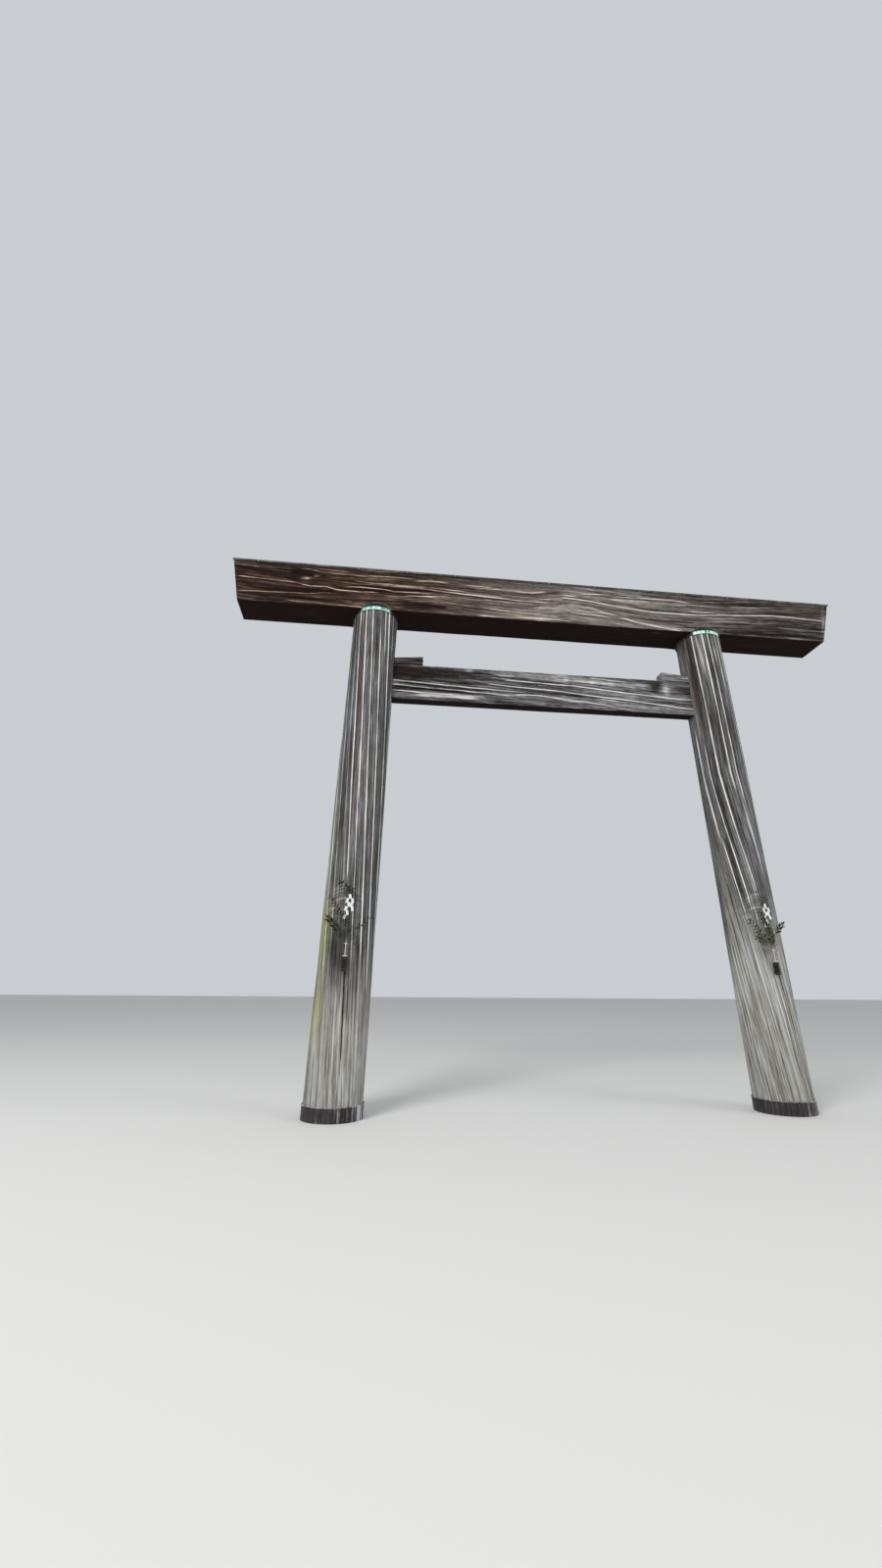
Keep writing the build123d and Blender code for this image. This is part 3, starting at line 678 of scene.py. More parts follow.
# Stains: place along the beam and up from its underside, half sizes and strength
beam_dark_stains = (
    (-4.5, 0.60, 0.30, 0.04, 0.16), (-4.75, 0.48, 0.10, 0.10, 0.12), (-3.27, 0.17, 0.35, 0.02, 0.10),
    (-4.8, 0.56, 0.35, 0.12, 0.08), (-2.3, 0.15, 0.6, 0.09, 0.14), (5.2, 0.68, 0.8, 0.1, 0.12),
    (2.7, 0.66, 1.4, 0.05, 0.12), (4.9, 0.30, 0.9, 0.12, 0.06),
)
beam_light_stains = (
    (-4.62, 0.50, 0.09, 0.035, 0.5), (-4.42, 0.555, 0.06, 0.03, 0.4), (-3.27, 0.10, 0.5, 0.09, 0.16),
    (1.9, 0.53, 0.8, 0.07, 0.14), (-2.9, 0.49, 0.5, 0.03, 0.16), (0.5, 0.33, 0.5, 0.10, 0.12),
    (5.84, 0.3, 0.03, 0.4, 0.4), (-3.2, 0.60, 0.9, 0.06, 0.08), (-0.9, 0.56, 0.6, 0.10, 0.10),
    (-3.0, 0.27, 0.8, 0.06, 0.07), (3.1, 0.25, 0.9, 0.12, 0.05), (-0.3, 0.06, 1.0, 0.06, 0.10),
)
beam_brown_stains = (
    (2.7, 0.66, 1.4, 0.06, 0.7), (5.0, 0.62, 0.8, 0.10, 0.6), (1.6, 0.30, 0.9, 0.06, 0.5),
    (-0.5, 0.68, 0.8, 0.06, 0.6), (-1.6, 0.16, 0.5, 0.12, 0.6), (0.2, 0.56, 0.3, 0.05, 0.6),
)
beam_moss_stains = (
    (5.5, 0.66, 0.35, 0.08, 0.6), (0, 0.79, 9, 0.014, 0.5), (-3.3, 0.60, 0.8, 0.08, 0.25),
    (-0.4, 0.03, 0.9, 0.04, 0.35),
)
piece, points = shape_board("top_beam_timber", 1, 1, 0, 1,
                            cuts_along=(59, 3), cuts_up=(69, 1), cuts_deep=(31,))
along, outward, up = points.T
on_top, on_bottom = np.isclose(up, 1), np.isclose(up, 0)
on_front, on_back = np.isclose(outward, -1), np.isclose(outward, 1)
height = beam_side_height * up + np.where(on_top, beam_gable * (1 - np.abs(outward)), 0)
x = along * (beam_half_length + height * beam_end_lean)
y = outward * (beam_half_bottom + beam_side_height * up * beam_side_lean)
crest, groove = weathered_face(x, height, beam_lines, beam_dark_lines, seed=31, slope=-0.02, spare=50)
back_crest, back_groove = weathered_face(x, height, (), (), seed=32, slope=0.02, spare=160)
under_crest, under_groove = weathered_face(x, y, (), (), seed=33, slope=0.01, spare=80)
crest = np.where(on_back, back_crest, np.where(on_bottom, under_crest * 0.6, crest))
groove = np.where(on_back, back_groove, np.where(on_bottom, under_groove, groove))
across = height - np.where(on_front, np.interp(x, *beam_flow), 0.4)
ripple = wander(x * 0.6, y * 14, across * 22)
broad = wander(x * 0.5, y * 2, 40 + across * 4)
depth = np.maximum(beam_hollow * (1 - crest) + beam_groove * groove - beam_ripple * (ripple + broad), 0)
from_axis = np.abs(x) - log_head_x
off_column = np.clip((np.hypot(from_axis, y) - column_clear) / 0.1, 0, 1)
off_band = np.clip((np.hypot(from_axis, height * 2.2) - band_clear) / 0.08, 0, 1)
y = y - np.sign(y) * np.where(on_front | on_back, depth * off_band, 0)
z = beam_low + height + np.where(on_bottom, depth * off_column, 0)
x = x - np.sign(x) * np.where(np.isclose(np.abs(along), 1), beam_end_wear * (1 + ripple), 0)
set_points(piece, triples(x, y, z))
note(piece, "grain", triples(across, y, x))
# The grooves are darkened as painted shadow under the raised lines.
pale = np.interp(x, *beam_paleness) + 0.62 * crest - 0.28 * groove + 0.18 * ripple + 0.10 * broad
pale = pale - patches(x, height, beam_dark_stains) + patches(x, height, beam_light_stains)
# The underside is painted near-black red-brown: painted shade over the wood's own red-brown with a faint
# grain. It takes the darkest tones, neither grey nor mossy.
pale = np.where(on_bottom, -0.14 + 0.45 * under_crest + 0.15 * ripple, pale)
note(piece, "pale", np.clip(pale, -0.3, 1))
grey = np.where(on_bottom, 0, np.interp(x, *beam_greyness))
moss = np.where(on_bottom, 0, patches(x, height, beam_moss_stains))
brown = np.where(on_bottom, 0.5, patches(x, height, beam_brown_stains))
note(piece, "wear", triples(grey, moss, brown))
smooth(piece, 40)
beam_timber = weathered_timber(
    "beam_timber",
    tones=((0.0, tone(17, 5, 6)), (0.2, tone(42, 27, 22)), (0.4, tone(76, 59, 49)),
           (0.6, tone(114, 96, 83)), (0.8, tone(170, 151, 134)), (1.0, tone(218, 202, 184))),
    worn_tones=((0.0, tone(20, 16, 15)), (0.2, tone(54, 47, 45)), (0.42, tone(94, 88, 85)),
                (0.6, tone(122, 116, 113)), (0.8, tone(160, 154, 150)), (1.0, tone(204, 199, 194))),
    moss_tone=tone(84, 84, 52),
    brown_tone=tone(62, 42, 34),
    dashes=0.6,
)


def end_grain(name, pith, light, dark):
    """Sawn and weathered end of a beam: growth rings round the pith, crossed by fine drying cracks."""
    end = Finish(name, roughness=0.92, specular=0.2)
    sawn = {"Vector": end.place(), "Location": (0, -pith[0], -pith[1]), "Scale": (0.02, 1, 1)}
    face = end.node("Mapping", sawn).outputs["Vector"]
    growth = {"Vector": face, "Scale": 14, "Distortion": 3.0, "Detail": 3, "Detail Scale": 0.6}
    rings = end.node("TexWave", growth, wave_type="RINGS", rings_direction="X").outputs["Fac"]
    cells = {"Vector": face, "Scale": 7}
    gap = end.node("TexVoronoi", cells, feature="DISTANCE_TO_EDGE").outputs["Distance"]
    shade = end.math("MULTIPLY", rings, 0.45)
    shade = end.math("MULTIPLY_ADD", end.cloud(face, (30, 30, 30), 5, 0.7), 0.6, shade)
    shade = end.math("MULTIPLY_ADD", end.math("LESS_THAN", gap, 0.012), -0.35, shade)
    return end.done(end.ramp(shade, ((0.1, dark), (0.85, light))), shade, strength=0.7, distance=0.006)


beam_end_grain = end_grain("beam_end_grain", (0.02, 8.93), tone(142, 132, 122), tone(52, 44, 40))
piece.data.materials.append(beam_timber)
piece.data.materials.append(beam_end_grain)
for face in piece.data.polygons:
    face.material_index = 1 if abs(face.normal.x) > 0.9 else 0
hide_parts("top_beam")
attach(piece, "root")


# ---- Copper cover of the top beam ----
# Sheet copper lies over the gable and is turned down over each upper edge as a drip. The sheets are
# joined by flat folded seams, and a rolled capping closes the ridge. The copper has gone brown-black with
# a grey-green bloom.
cover_half_length, cover_slope_rows = 5.849, 14
cover_thickness, cover_seat, cover_drip = 0.0015, 0.0036, 0.034
seam_spacing, seam_rise, seam_half_width = 0.91, 0.0035, 0.012
first_seam, seam_count = 0.45, 13
cover_buckle, drip_wave = 0.0012, 0.003


def old_copper(name, dark, green, pale, green_share, streaks):
    """Weathered sheet copper: dark metal under patches and runs of patina."""
    copper = Finish(name, roughness=0.62, metallic=0.25)
    place = copper.place()
    patina = copper.cloud(place, (2.2, 2.2, 2.2), 6, 0.65)
    bloom = copper.math("MULTIPLY_ADD", patina, 1.2, green_share - 1.1)
    bloom = copper.math("ADD", copper.cloud(place, streaks, 5, 0.6), bloom)
    bloom = copper.math("MULTIPLY_ADD", copper.cloud(place, (70, 70, 70), 4, 0.7), 0.5, bloom)
    # Each piece's noted patina, which on the roof, collars and sleeves also holds painted light and shade.
    bloom = copper.math("ADD", copper.noted("patina_and_light", "Fac"), bloom)
    colour = copper.ramp(bloom, ((0.2, dark), (0.55, green), (0.95, pale)))
    return copper.done(colour, bloom, strength=0.4, distance=0.002)


def flat_sheet(name, along, profile):
    """A sheet with a row of points for each step of its profile.

    Also gives each point's place along it, its place in the profile, and its row.
    """
    piece = new_piece(bpy.ops.mesh.primitive_grid_add, name, size=2,
                      x_subdivisions=len(along) - 1, y_subdivisions=len(profile) - 1)
    unit = points_of(piece)
    column = np.round((unit[:, 0] + 1) / 2 * (len(along) - 1)).astype(int)
    row = np.round((unit[:, 1] + 1) / 2 * (len(profile) - 1)).astype(int)
    return piece, np.array(along)[column], np.array(profile)[row], row


def thicken(piece, thickness, offset=-1.0):
    """Gives a sheet its thickness, inwards, or to both sides with an offset of 0."""
    work_on(piece)
    wall = piece.modifiers.new("wall", "SOLIDIFY")
    wall.thickness, wall.offset, wall.use_even_offset = thickness, offset, True
    bpy.ops.object.modifier_apply(modifier=wall.name)


def refinish(node, material):
    """Gives a piece that keeps its plain shape a better material."""
    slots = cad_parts[node].data.materials
    slots.clear()
    slots.append(material)


roof_copper = old_copper("roof_copper", tone(26, 25, 20), tone(58, 63, 52), tone(102, 114, 98),
                         green_share=0.30, streaks=(5, 1.5, 5))
half_top = beam_half_bottom + beam_side_height * beam_side_lean
drip_foot = beam_side_height - cover_drip
# How far out and how far up each row of the sheet is: the drip, its fold and the slope up to the ridge
cover_profile = [
    (beam_half_bottom + drip_foot * beam_side_lean + 0.0038, drip_foot + 0.0006),
    (half_top + 0.0022, beam_side_height - 0.016),
    (half_top + cover_seat, beam_side_height + 0.001),
    (half_top + 0.0004, beam_side_height + cover_seat),
]
for rise in np.arange(1, cover_slope_rows + 1) / cover_slope_rows:
    cover_profile.append((half_top * (1 - rise), beam_side_height + cover_seat + beam_gable * rise))
seams = -cover_half_length + first_seam + seam_spacing * np.arange(seam_count)
seam_edges = np.add.outer(seams, (-0.06, -0.014, -0.011, 0.011, 0.014, 0.06)).ravel()
sheet_steps = np.sort(np.append(seam_edges, np.linspace(-cover_half_length, cover_half_length, 79)))
for side, name in ((-1, "beam_cover_front"), (1, "beam_cover_rear")):
    piece, along, across, row = flat_sheet(name + "_sheet", sheet_steps, cover_profile)
    square_x = -side * along
    out, up = across.T
    from_seam = np.min(np.abs(square_x[:, None] - seams), 1)
    lift = np.where((from_seam < seam_half_width) & (row > 2), seam_rise, 0)
    lift = lift + np.maximum(cover_buckle * wander(square_x * 2.2, out * 3, 50 + side), -0.001) * (row > 3)
    lift = lift + np.maximum(drip_wave * wander(square_x * 6, 2, 60 + side), 0) * (row == 0)
    x = square_x * (cover_half_length + up * beam_end_lean) / cover_half_length
    set_points(piece, triples(x, side * out, beam_low + up + lift))
    runs = wander(x * 5, out * 0.8, 90 + side)
    # A dark strip beside each raised seam is painted shadow; the seams are paler and the runs streak the
    # sheet.
    seam_shadow = ridge(from_seam - 0.03, 0.03)
    note(piece, "patina_and_light", 0.5 * (from_seam < seam_half_width) - 0.3 * seam_shadow + 0.25 * runs)
    thicken(piece, cover_thickness)
    smooth(piece, 25)
    piece.data.materials.append(roof_copper)
    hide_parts(name)
    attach(piece, "root")
refinish("beam_cover_ridge", roof_copper)


# ---- Collars at the column heads ----
# A band of sheet copper is dressed round each column's head and ends in a rolled drip lip. Its open front
# and back are pale green where rainwater reaches them, while under the beam it is nearly black: kept dry
# there, and painted shade. The front of the lip is made paler as a painted highlight.
band_low, band_high = 8.5093, 8.5747
band_inner, band_outer = 0.4237, 0.4272
lip_outer, lip_half_width, lip_half_height = 0.4331, 0.003, 0.0045
band_crease = 0.0012


def ring(name, outline, around):
    """A ring with an outline of radius and height, counter-clockwise.

    Also gives each point's bearing, radius and height.
    """
    piece = new_piece(bpy.ops.mesh.primitive_torus_add, name, major_segments=around,
                      minor_segments=len(outline), major_radius=2, minor_radius=1)
    unit = points_of(piece)
    turned = np.arctan2(unit[:, 2], np.hypot(unit[:, 0], unit[:, 1]) - 2)
    row = np.round(turned / (2 * math.pi) * len(outline)).astype(int) % len(outline)
    radius, height = np.array(outline)[row].T
    return piece, np.arctan2(unit[:, 1], unit[:, 0]), radius, height


def round_edge(radius, height, half_width, half_height, angles):
    """Points of a rounded edge, for a ring's outline."""
    return [(radius + half_width * math.cos(a), height + half_height * math.sin(a)) for a in angles]


def ring_points(bearing, radius, height):
    return triples(radius * np.cos(bearing), radius * np.sin(bearing), height)


collar_copper = old_copper("collar_copper", tone(13, 15, 13), tone(104, 160, 142), tone(208, 234, 226),
                           green_share=-0.36, streaks=(90, 90, 5))
lip = round_edge(lip_outer - lip_half_width, band_low + lip_half_height, lip_half_width, lip_half_height,
                 (-1.5, -0.9, -0.3, 0.3, 0.9, 1.5))
band_outline = [
    (band_outer - 0.0005, band_high), (band_inner, band_high), (band_inner, band_low), *lip,
    (band_outer, band_low + 0.0105), (band_outer, band_low + 0.025), (band_outer, band_high - 0.02),
    (band_outer, band_high - 0.0005),
]
for side, name in ((-1, "left_neck_band"), (1, "right_neck_band")):
    piece, bearing, radius, z = ring(name + "_sheet", band_outline, 360)
    crease = wander(np.cos(bearing) * 14, np.sin(bearing) * 14, side)
    on_band = (radius > band_outer - 0.0002) & (z > band_low + 0.01) & (z < band_high - 0.001)
    radius = radius - np.where(on_band, band_crease * np.maximum(crease, 0), 0)
    x, y, z = ring_points(bearing, radius, z).T
    set_points(piece, triples(axis_at(side, z) + x, y, z))
    # Out from under the beam the copper is weathered pale and lit; under it, it is dark as painted shade.
    # The front of the lip gets a painted highlight.
    exposed_and_lit = np.clip((np.abs(y) - 0.315) / 0.03, 0, 1)
    lip_highlight = (radius > band_outer + 0.001) & (y < 0.25)
    patina_and_light = 1.05 * exposed_and_lit * (0.8 + 0.5 * crease) + (0.12 + 0.3 * exposed_and_lit) * lip_highlight
    note(piece, "patina_and_light", np.clip(patina_and_light, 0, 1.2))
    smooth(piece, 50)
    piece.data.materials.append(collar_copper)
    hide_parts(name)
    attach(piece, "root")


# ---- Flashings over the column shoulders ----
# Where a column's head stands out in front of the beam and behind it, a curved sheet of copper slopes
# from the collar up to the beam and is turned up on its face. It is dark green, nearly black, partly as
# old copper and partly as painted shade under the beam, with a paler edge.
shoulder_height, shoulder_turn_up, shoulder_thickness = 0.110, 0.0215, 0.002
shoulder_foot_radius, shoulder_dent = 0.4275, 0.0015
shoulder_off_beam, turn_up_off_beam = 0.0022, 0.0036
shoulder_head_radius = beam_half_bottom + shoulder_height * beam_side_lean
shoulder_slope = (shoulder_head_radius - shoulder_foot_radius) / shoulder_height
shoulder_half_angle = math.acos(beam_half_bottom / shoulder_foot_radius)
turn_up_half_angle = math.acos(beam_half_bottom / (shoulder_foot_radius + shoulder_turn_up))
# Rows of points: nine up the cone, and three more up the part that is turned up on the beam
cone_rows, turn_up_rows = 8, 3
shoulder_rises = [k / cone_rows for k in range(cone_rows + 1)] + [1] * turn_up_rows


def meets_face(bearing, proud):
    """Height above the beam's underside where the cone, set out by proud, meets the beam's face."""
    reach = (shoulder_foot_radius + proud) * np.cos(bearing) - beam_half_bottom
    return np.maximum(reach / (beam_side_lean - shoulder_slope * np.cos(bearing)), 0)


def merge_points(piece):
    """Welds the points of a mesh that share one place."""
    work_on(piece)
    bpy.ops.object.mode_set(mode="EDIT")
    bpy.ops.mesh.select_all(action="SELECT")
    bpy.ops.mesh.remove_doubles(threshold=0.00002)
    bpy.ops.object.mode_set(mode="OBJECT")


def join(parts):
    """Makes one piece of several, in the place of the first."""
    work_on(*parts)
    bpy.ops.object.join()
    return parts[0]


# Its near-black tones are partly painted shade under the beam.
shaded_shoulder_copper = old_copper("shaded_shoulder_copper", tone(14, 16, 14), tone(50, 62, 54), tone(140, 156, 146),
                             green_share=0.05, streaks=(26, 26, 26))
for side, name in ((-1, "left_neck_flashing"), (1, "right_neck_flashing")):
    sheets = []
    for face in (-1, 1):
        sheet, along, rise, row = flat_sheet(name + "_sheet", np.linspace(-1, 1, 61), shoulder_rises)
        inner, outer = along * shoulder_half_angle, along * turn_up_half_angle
        top, rim_top = meets_face(inner, 0), meets_face(outer, shoulder_turn_up)
        on_cone = row <= cone_rows
        climb = top * rise
        dent = shoulder_dent * wander(along * 9, climb * 20, 70 + side)
        radius = shoulder_foot_radius - 0.0002 + shoulder_slope * climb
        radius = radius - np.maximum(dent, 0) * (rise > 0.05) * (rise < 0.95)
        # The part that is turned up runs from the cone's upper edge to a rim that stands proud of it
        share = np.clip((row - cone_rows) / turn_up_rows, 0, 1)
        edge_x = (shoulder_foot_radius + shoulder_slope * top) * np.sin(inner)
        rim_x = (shoulder_foot_radius + shoulder_turn_up + shoulder_slope * rim_top) * np.sin(outer)
        x = np.where(on_cone, radius * np.sin(inner), edge_x + (rim_x - edge_x) * share)
        z = np.where(on_cone, climb, top + (rim_top - top) * share)
        beam_face = beam_half_bottom + z * beam_side_lean
        y = np.maximum(radius * np.cos(inner), beam_face + shoulder_off_beam)
        y = np.where(on_cone, y, beam_face + turn_up_off_beam)
        x, y, z = axis_at(side, log_height) - face * x, face * y, beam_low + np.maximum(z, 0.0002)
        set_points(sheet, triples(x, y, z))
        note(sheet, "patina_and_light", np.where(row == cone_rows + turn_up_rows, 0.6, np.where(row == 0, 0.2, 0.0)))
        thicken(sheet, shoulder_thickness)
        sheets.append(sheet)
    piece = join(sheets)
    merge_points(piece)
    smooth(piece, 40)
    piece.data.materials.append(shaded_shoulder_copper)
    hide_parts(name)
    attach(piece, "root")


# ---- Base sleeves ----
# A sleeve of heavy sheet copper keeps the wet off the foot of each column. Its plates are lapped and
# riveted, its upper edge is rolled, and rainwater has streaked its dark skin. One side is painted lighter
# as painted sunlight, and streaked most there.
sleeve_inner, sleeve_outer, sleeve_rim_outer = 0.4514, 0.4575, 0.4631
sleeve_high, sleeve_plate_high, sleeve_rim_middle = 0.2047, 0.19, 0.198
lap_rise, sleeve_dent = 0.0022, 0.002
lap_bearings = (-158, -68, 22, 112)
rivet_heights, rivet_radius = (0.03, 0.075, 0.12, 0.165), 0.006
foot_copper = old_copper("foot_copper", tone(22, 16, 16), tone(66, 60, 64), tone(186, 188, 191),
                         green_share=0.10, streaks=(44, 44, 2))
sleeve_outline = [(sleeve_inner, sleeve_high), (sleeve_inner, 0)]
sleeve_outline += [(sleeve_outer, sleeve_plate_high * k / 12) for k in range(13)]
sleeve_outline += round_edge(sleeve_rim_outer - 0.005, sleeve_rim_middle, 0.005, 0.0067,
                             (-1.4, -0.7, 0, 0.7, 1.4))
for side, name in ((-1, "left_base_sleeve"), (1, "right_base_sleeve")):
    piece, bearing, radius, z = ring(name + "_sheet", sleeve_outline, 360)
    from_lap = [np.abs((np.degrees(bearing) - lap + 180) % 360 - 180) for lap in lap_bearings]
    lapped = np.clip(1.6 - 0.9 * np.min(from_lap, 0), 0, 1)
    dent = sleeve_dent * wander(np.cos(bearing) * 3, np.sin(bearing) * 3, z * 6 + side)
    on_plate = np.isclose(radius, sleeve_outer)
    radius = radius + np.where(on_plate, lap_rise * lapped - np.maximum(dent, 0), 0)
    x, y, z = ring_points(bearing, radius, z).T
    set_points(piece, triples(axis_at(side, z) + x, y, z))
    drip = wander(np.cos(bearing) * 13, np.sin(bearing) * 13, 80 + side)
    # Painted sunlight: one side of the sleeve is made paler, and its streaks stronger.
    sunny = 0.5 - 0.5 * np.cos(bearing + math.radians(150))
    lit_and_streaked = 0.42 * sunny ** 1.3 + 1.3 * drip * (0.12 + 0.88 * sunny)
    note(piece, "patina_and_light", np.where(z > 0.195, 0.4, lit_and_streaked) + 0.12 * lapped)
    parts = [piece]
    for lap in lap_bearings:
        for height in rivet_heights:
            x, y, z = ring_points(np.radians([lap]), sleeve_outer + 0.0008, height)[0]
            place = (axis_at(side, height) + x, y, z)
            parts.append(new_piece(bpy.ops.mesh.primitive_uv_sphere_add, name + "_rivet",
                                   segments=10, ring_count=6, radius=rivet_radius, location=place))
    smooth(join(parts), 40)
    piece.data.materials.append(foot_copper)
    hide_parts(name)
    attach(piece, "root")


# ---- Sprig holders ----
# A short tube of blackened bamboo with a rounded foot is strapped to a block on each column's front, with
# its mouth up. A white band is bound round the mouth, and the straps are plain iron.
holder_foot, holder_y = 2.052, -0.4958
holder_radius, holder_bore, holder_high, holder_floor = 0.0374, 0.0325, 0.2099, 0.012
holder_lean = math.atan((log_foot_x - log_head_x) / log_height)
tube_outline = [
    (holder_radius, holder_high), (holder_bore, holder_high), (holder_bore, 0.02),
    (holder_bore * 0.8, holder_floor + 0.0005), (0, holder_floor), (0, 0.0003), (0.022, 0.0003),
    (0.029, 0.004), (0.0338, 0.012), (0.0363, 0.022), (holder_radius, 0.036),
]
rim_outline = round_edge(0.0338, 0.216, 0.0064, 0.0058, [k * math.pi / 6 for k in range(12)])


def on_holder(side, points):
    """Moves points from a holder's own frame, with its tube's foot at the origin, to its column."""
    x, y, z = points.T
    turn = side * holder_lean
    return triples(x * math.cos(turn) - z * math.sin(turn) + axis_at(side, holder_foot), y + holder_y,
                   x * math.sin(turn) + z * math.cos(turn) + holder_foot)


def plain_finish(name, low, high, roughness, scale=60, specular=0.4):
    """A worn surface between two tones."""
    finish = Finish(name, roughness, specular)
    speck = finish.cloud(finish.place(), (scale, scale, scale * 0.3), 6, 0.7)
    return finish.done(finish.ramp(speck, ((0.3, low), (0.7, high))), speck, strength=0.3, distance=0.001)


holder_black = plain_finish("holder_black", tone(3, 3, 4), tone(12, 12, 13), 0.24, specular=0.35)
holder_white = plain_finish("holder_white", tone(196, 196, 190), tone(236, 236, 232), 0.7)
bracket_iron = plain_finish("bracket_iron", tone(22, 19, 18), tone(64, 52, 44), 0.7)
for side, hand in ((-1, "left"), (1, "right")):
    piece, bearing, radius, z = ring(hand + "_holder_tube_body", tube_outline, 48)
    set_points(piece, on_holder(side, ring_points(bearing, radius, z)))
    merge_points(piece)
    smooth(piece, 40)
    piece.data.materials.append(holder_black)
    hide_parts(hand + "_holder_tube")
    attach(piece, "root")
    piece, bearing, radius, z = ring(hand + "_holder_rim_ring", rim_outline, 48)
    set_points(piece, on_holder(side, ring_points(bearing, radius, z)))
    smooth(piece, 180)
    piece.data.materials.append(holder_white)
    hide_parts(hand + "_holder_rim")
    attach(piece, "root")
    refinish(hand + "_holder_bracket", bracket_iron)


# ---- Sprigs ----
# A cut evergreen branch stands in each tube: a thin brown stem with a few side twigs, each with glossy
# pointed leaves along its outer part. It is renewed from time to time, so it is still green.
stem_foot, stem_top, stem_bare = 0.0125, 1.242, 0.403
stem_foot_radius, stem_top_radius = 0.0083, 0.004
twig_foot_radius, twig_tip_radius, twig_points = 0.0044, 0.0025, 12
leaf_reach, leaf_half_width, leaf_thickness = 0.080, 0.0145, 0.0008
leaf_gap, leaf_bare_part = 0.017, 0.34
# Twigs of the left (-1) and right (1) sprig: where each starts, as a share of the stem above its bare
# foot, its bearing from the front, its rise from level, its length, and how leafy it is
sprig_twigs = {
    -1: ((0.116, -79, 40, 0.400, 1.0), (0.187, 79, 34, 0.432, 0.35), (0.342, -70, 50, 0.416, 0.6),
         (0.912, -62, 38, 0.213, 0.6)),
    1: ((0.080, -80, 47, 0.520, 0.6), (0.032, -73, 27, 0.354, 0.7), (0.306, -62, 59, 0.374, 1.0),
        (0.235, 60, 44, 0.276, 1.2)),
}
middle_leafiness = {-1: 0.8, 1: 3.0}
# Range of leaf tints for each sprig: random from leaf to leaf, and set lighter on the right sprig as
# painted sunlight and darker on the left as painted shade.
leaf_tints_and_light = {-1: (-0.1, 0.3), 1: (0.0, 0.55)}


def limb(name, path, foot_radius, tip_radius):
    """Round twig along a path of points, a little knobbly."""
    piece = new_piece(bpy.ops.mesh.primitive_cylinder_add, name,
                      vertices=9, radius=1, depth=1, location=(0, 0, 0.5))
    divide_along(piece, 2, len(path) - 2)
    unit = points_of(piece)
    row = np.round(unit[:, 2] * (len(path) - 1)).astype(int)
    ahead = (path[-1] - path[0]) / np.linalg.norm(path[-1] - path[0])
    sideways = np.cross(ahead, (0, 1, 0))
    sideways /= np.linalg.norm(sideways)
    knobbly = np.where(np.arange(len(unit)) % 7 == 0, 1.06, 1)
    radius = (foot_radius + (tip_radius - foot_radius) * unit[:, 2]) * knobbly
    around = unit[:, :1] * sideways + unit[:, 1:2] * np.cross(ahead, sideways)
    set_points(piece, path[row] + around * radius[:, None])
    return piece


def sprig_path(start, end, sag, seed, count):
    """Points from one place to another, sagging and drifting a little between them."""
    share = np.linspace(0, 1, count)
    path = start + (end - start) * share[:, None]
    path[:, 2] -= sag * np.sin(share * math.pi)
    drift = 0.02 * np.linalg.norm(end - start)
    path[:, 0] += drift * wander(share * 2.2, seed, 1) * np.sin(share * math.pi)
    return path


def leaf(name, base, ahead, facing, length, half_width, curl, tint):
    """Pointed leaf, folded a little along its rib and bent back towards its tip."""
    piece = new_piece(bpy.ops.mesh.primitive_grid_add, name, x_subdivisions=7, y_subdivisions=4, size=2)
    unit = points_of(piece)
    share, across = (unit[:, 0] + 1) / 2, unit[:, 1]
    width = half_width * (np.sin(np.pi * np.clip(share, 0, 1) ** 0.8) ** 0.8 * 0.97 + 0.03)
    ahead = ahead / np.linalg.norm(ahead)
    facing = facing - ahead * facing.dot(ahead)
    facing /= np.linalg.norm(facing)
    sideways = np.cross(facing, ahead)
    lift = 0.28 * np.abs(across) * width - curl * share ** 2 * length
    along, aside = ahead * (share * length)[:, None], sideways * (across * width)[:, None]
    set_points(piece, base + along + aside + facing * lift[:, None])
    note(piece, "tint", np.full(len(unit), tint))
    return piece


def leaves_along(name, path, leafiness, chance, tints_and_light):
    """Leaves on both sides of a twig in turn, along its outer part, and one at its tip."""
    travelled = np.append(0, np.cumsum(np.linalg.norm(np.diff(path, axis=0), axis=1)))
    ahead = (path[-1] - path[-3]) / np.linalg.norm(path[-1] - path[-3])
    across = np.cross((0, -1, 0), ahead)
    across /= np.linalg.norm(across)
    at = leaf_bare_part * travelled[-1] if len(path) == twig_points else 0.02
    turn = -1
    leaves = []
    while at < travelled[-1]:
        base = np.array([np.interp(at, travelled, path[:, axis]) for axis in range(3)])
        swing = math.radians(chance.uniform(32, 62)) * turn
        lean = chance.uniform(-0.15, 0.35)
        heading = ahead * math.cos(swing) + across * math.sin(swing) + np.array((0, -lean, 0))
        facing = np.array((chance.uniform(-0.3, 0.3), -1.0, chance.uniform(0.2, 1.0)))
        length = leaf_reach * chance.uniform(0.6, 1.05)
        half_width = leaf_half_width * chance.uniform(0.7, 1.1)
        curl = chance.uniform(0.05, 0.25)
        # A random tint within the sprig's range, which holds painted light and shade.
        tint = chance.uniform(*tints_and_light)
        leaves.append(leaf(name, base + heading * 0.006, heading, facing, length, half_width, curl, tint))
        at += leaf_gap / leafiness * chance.uniform(0.7, 1.2)
        turn = -turn
    leaves.append(leaf(name, path[-1] + ahead * 0.001, ahead, np.array((0.1, -1.0, 0.5)), leaf_reach * 0.85,
                       leaf_half_width, 0.1, 0.3))
    return leaves


def tinted(name, roughness, specular, tones):
    """A mottled skin, darker or lighter by each point's tint."""
    skin = Finish(name, roughness, specular)
    speck = skin.cloud(skin.place(), (40, 40, 40), 3, 0.6)
    return skin.done(skin.ramp(skin.math("MULTIPLY_ADD", speck, 0.5, skin.noted("tint", "Fac")), tones))


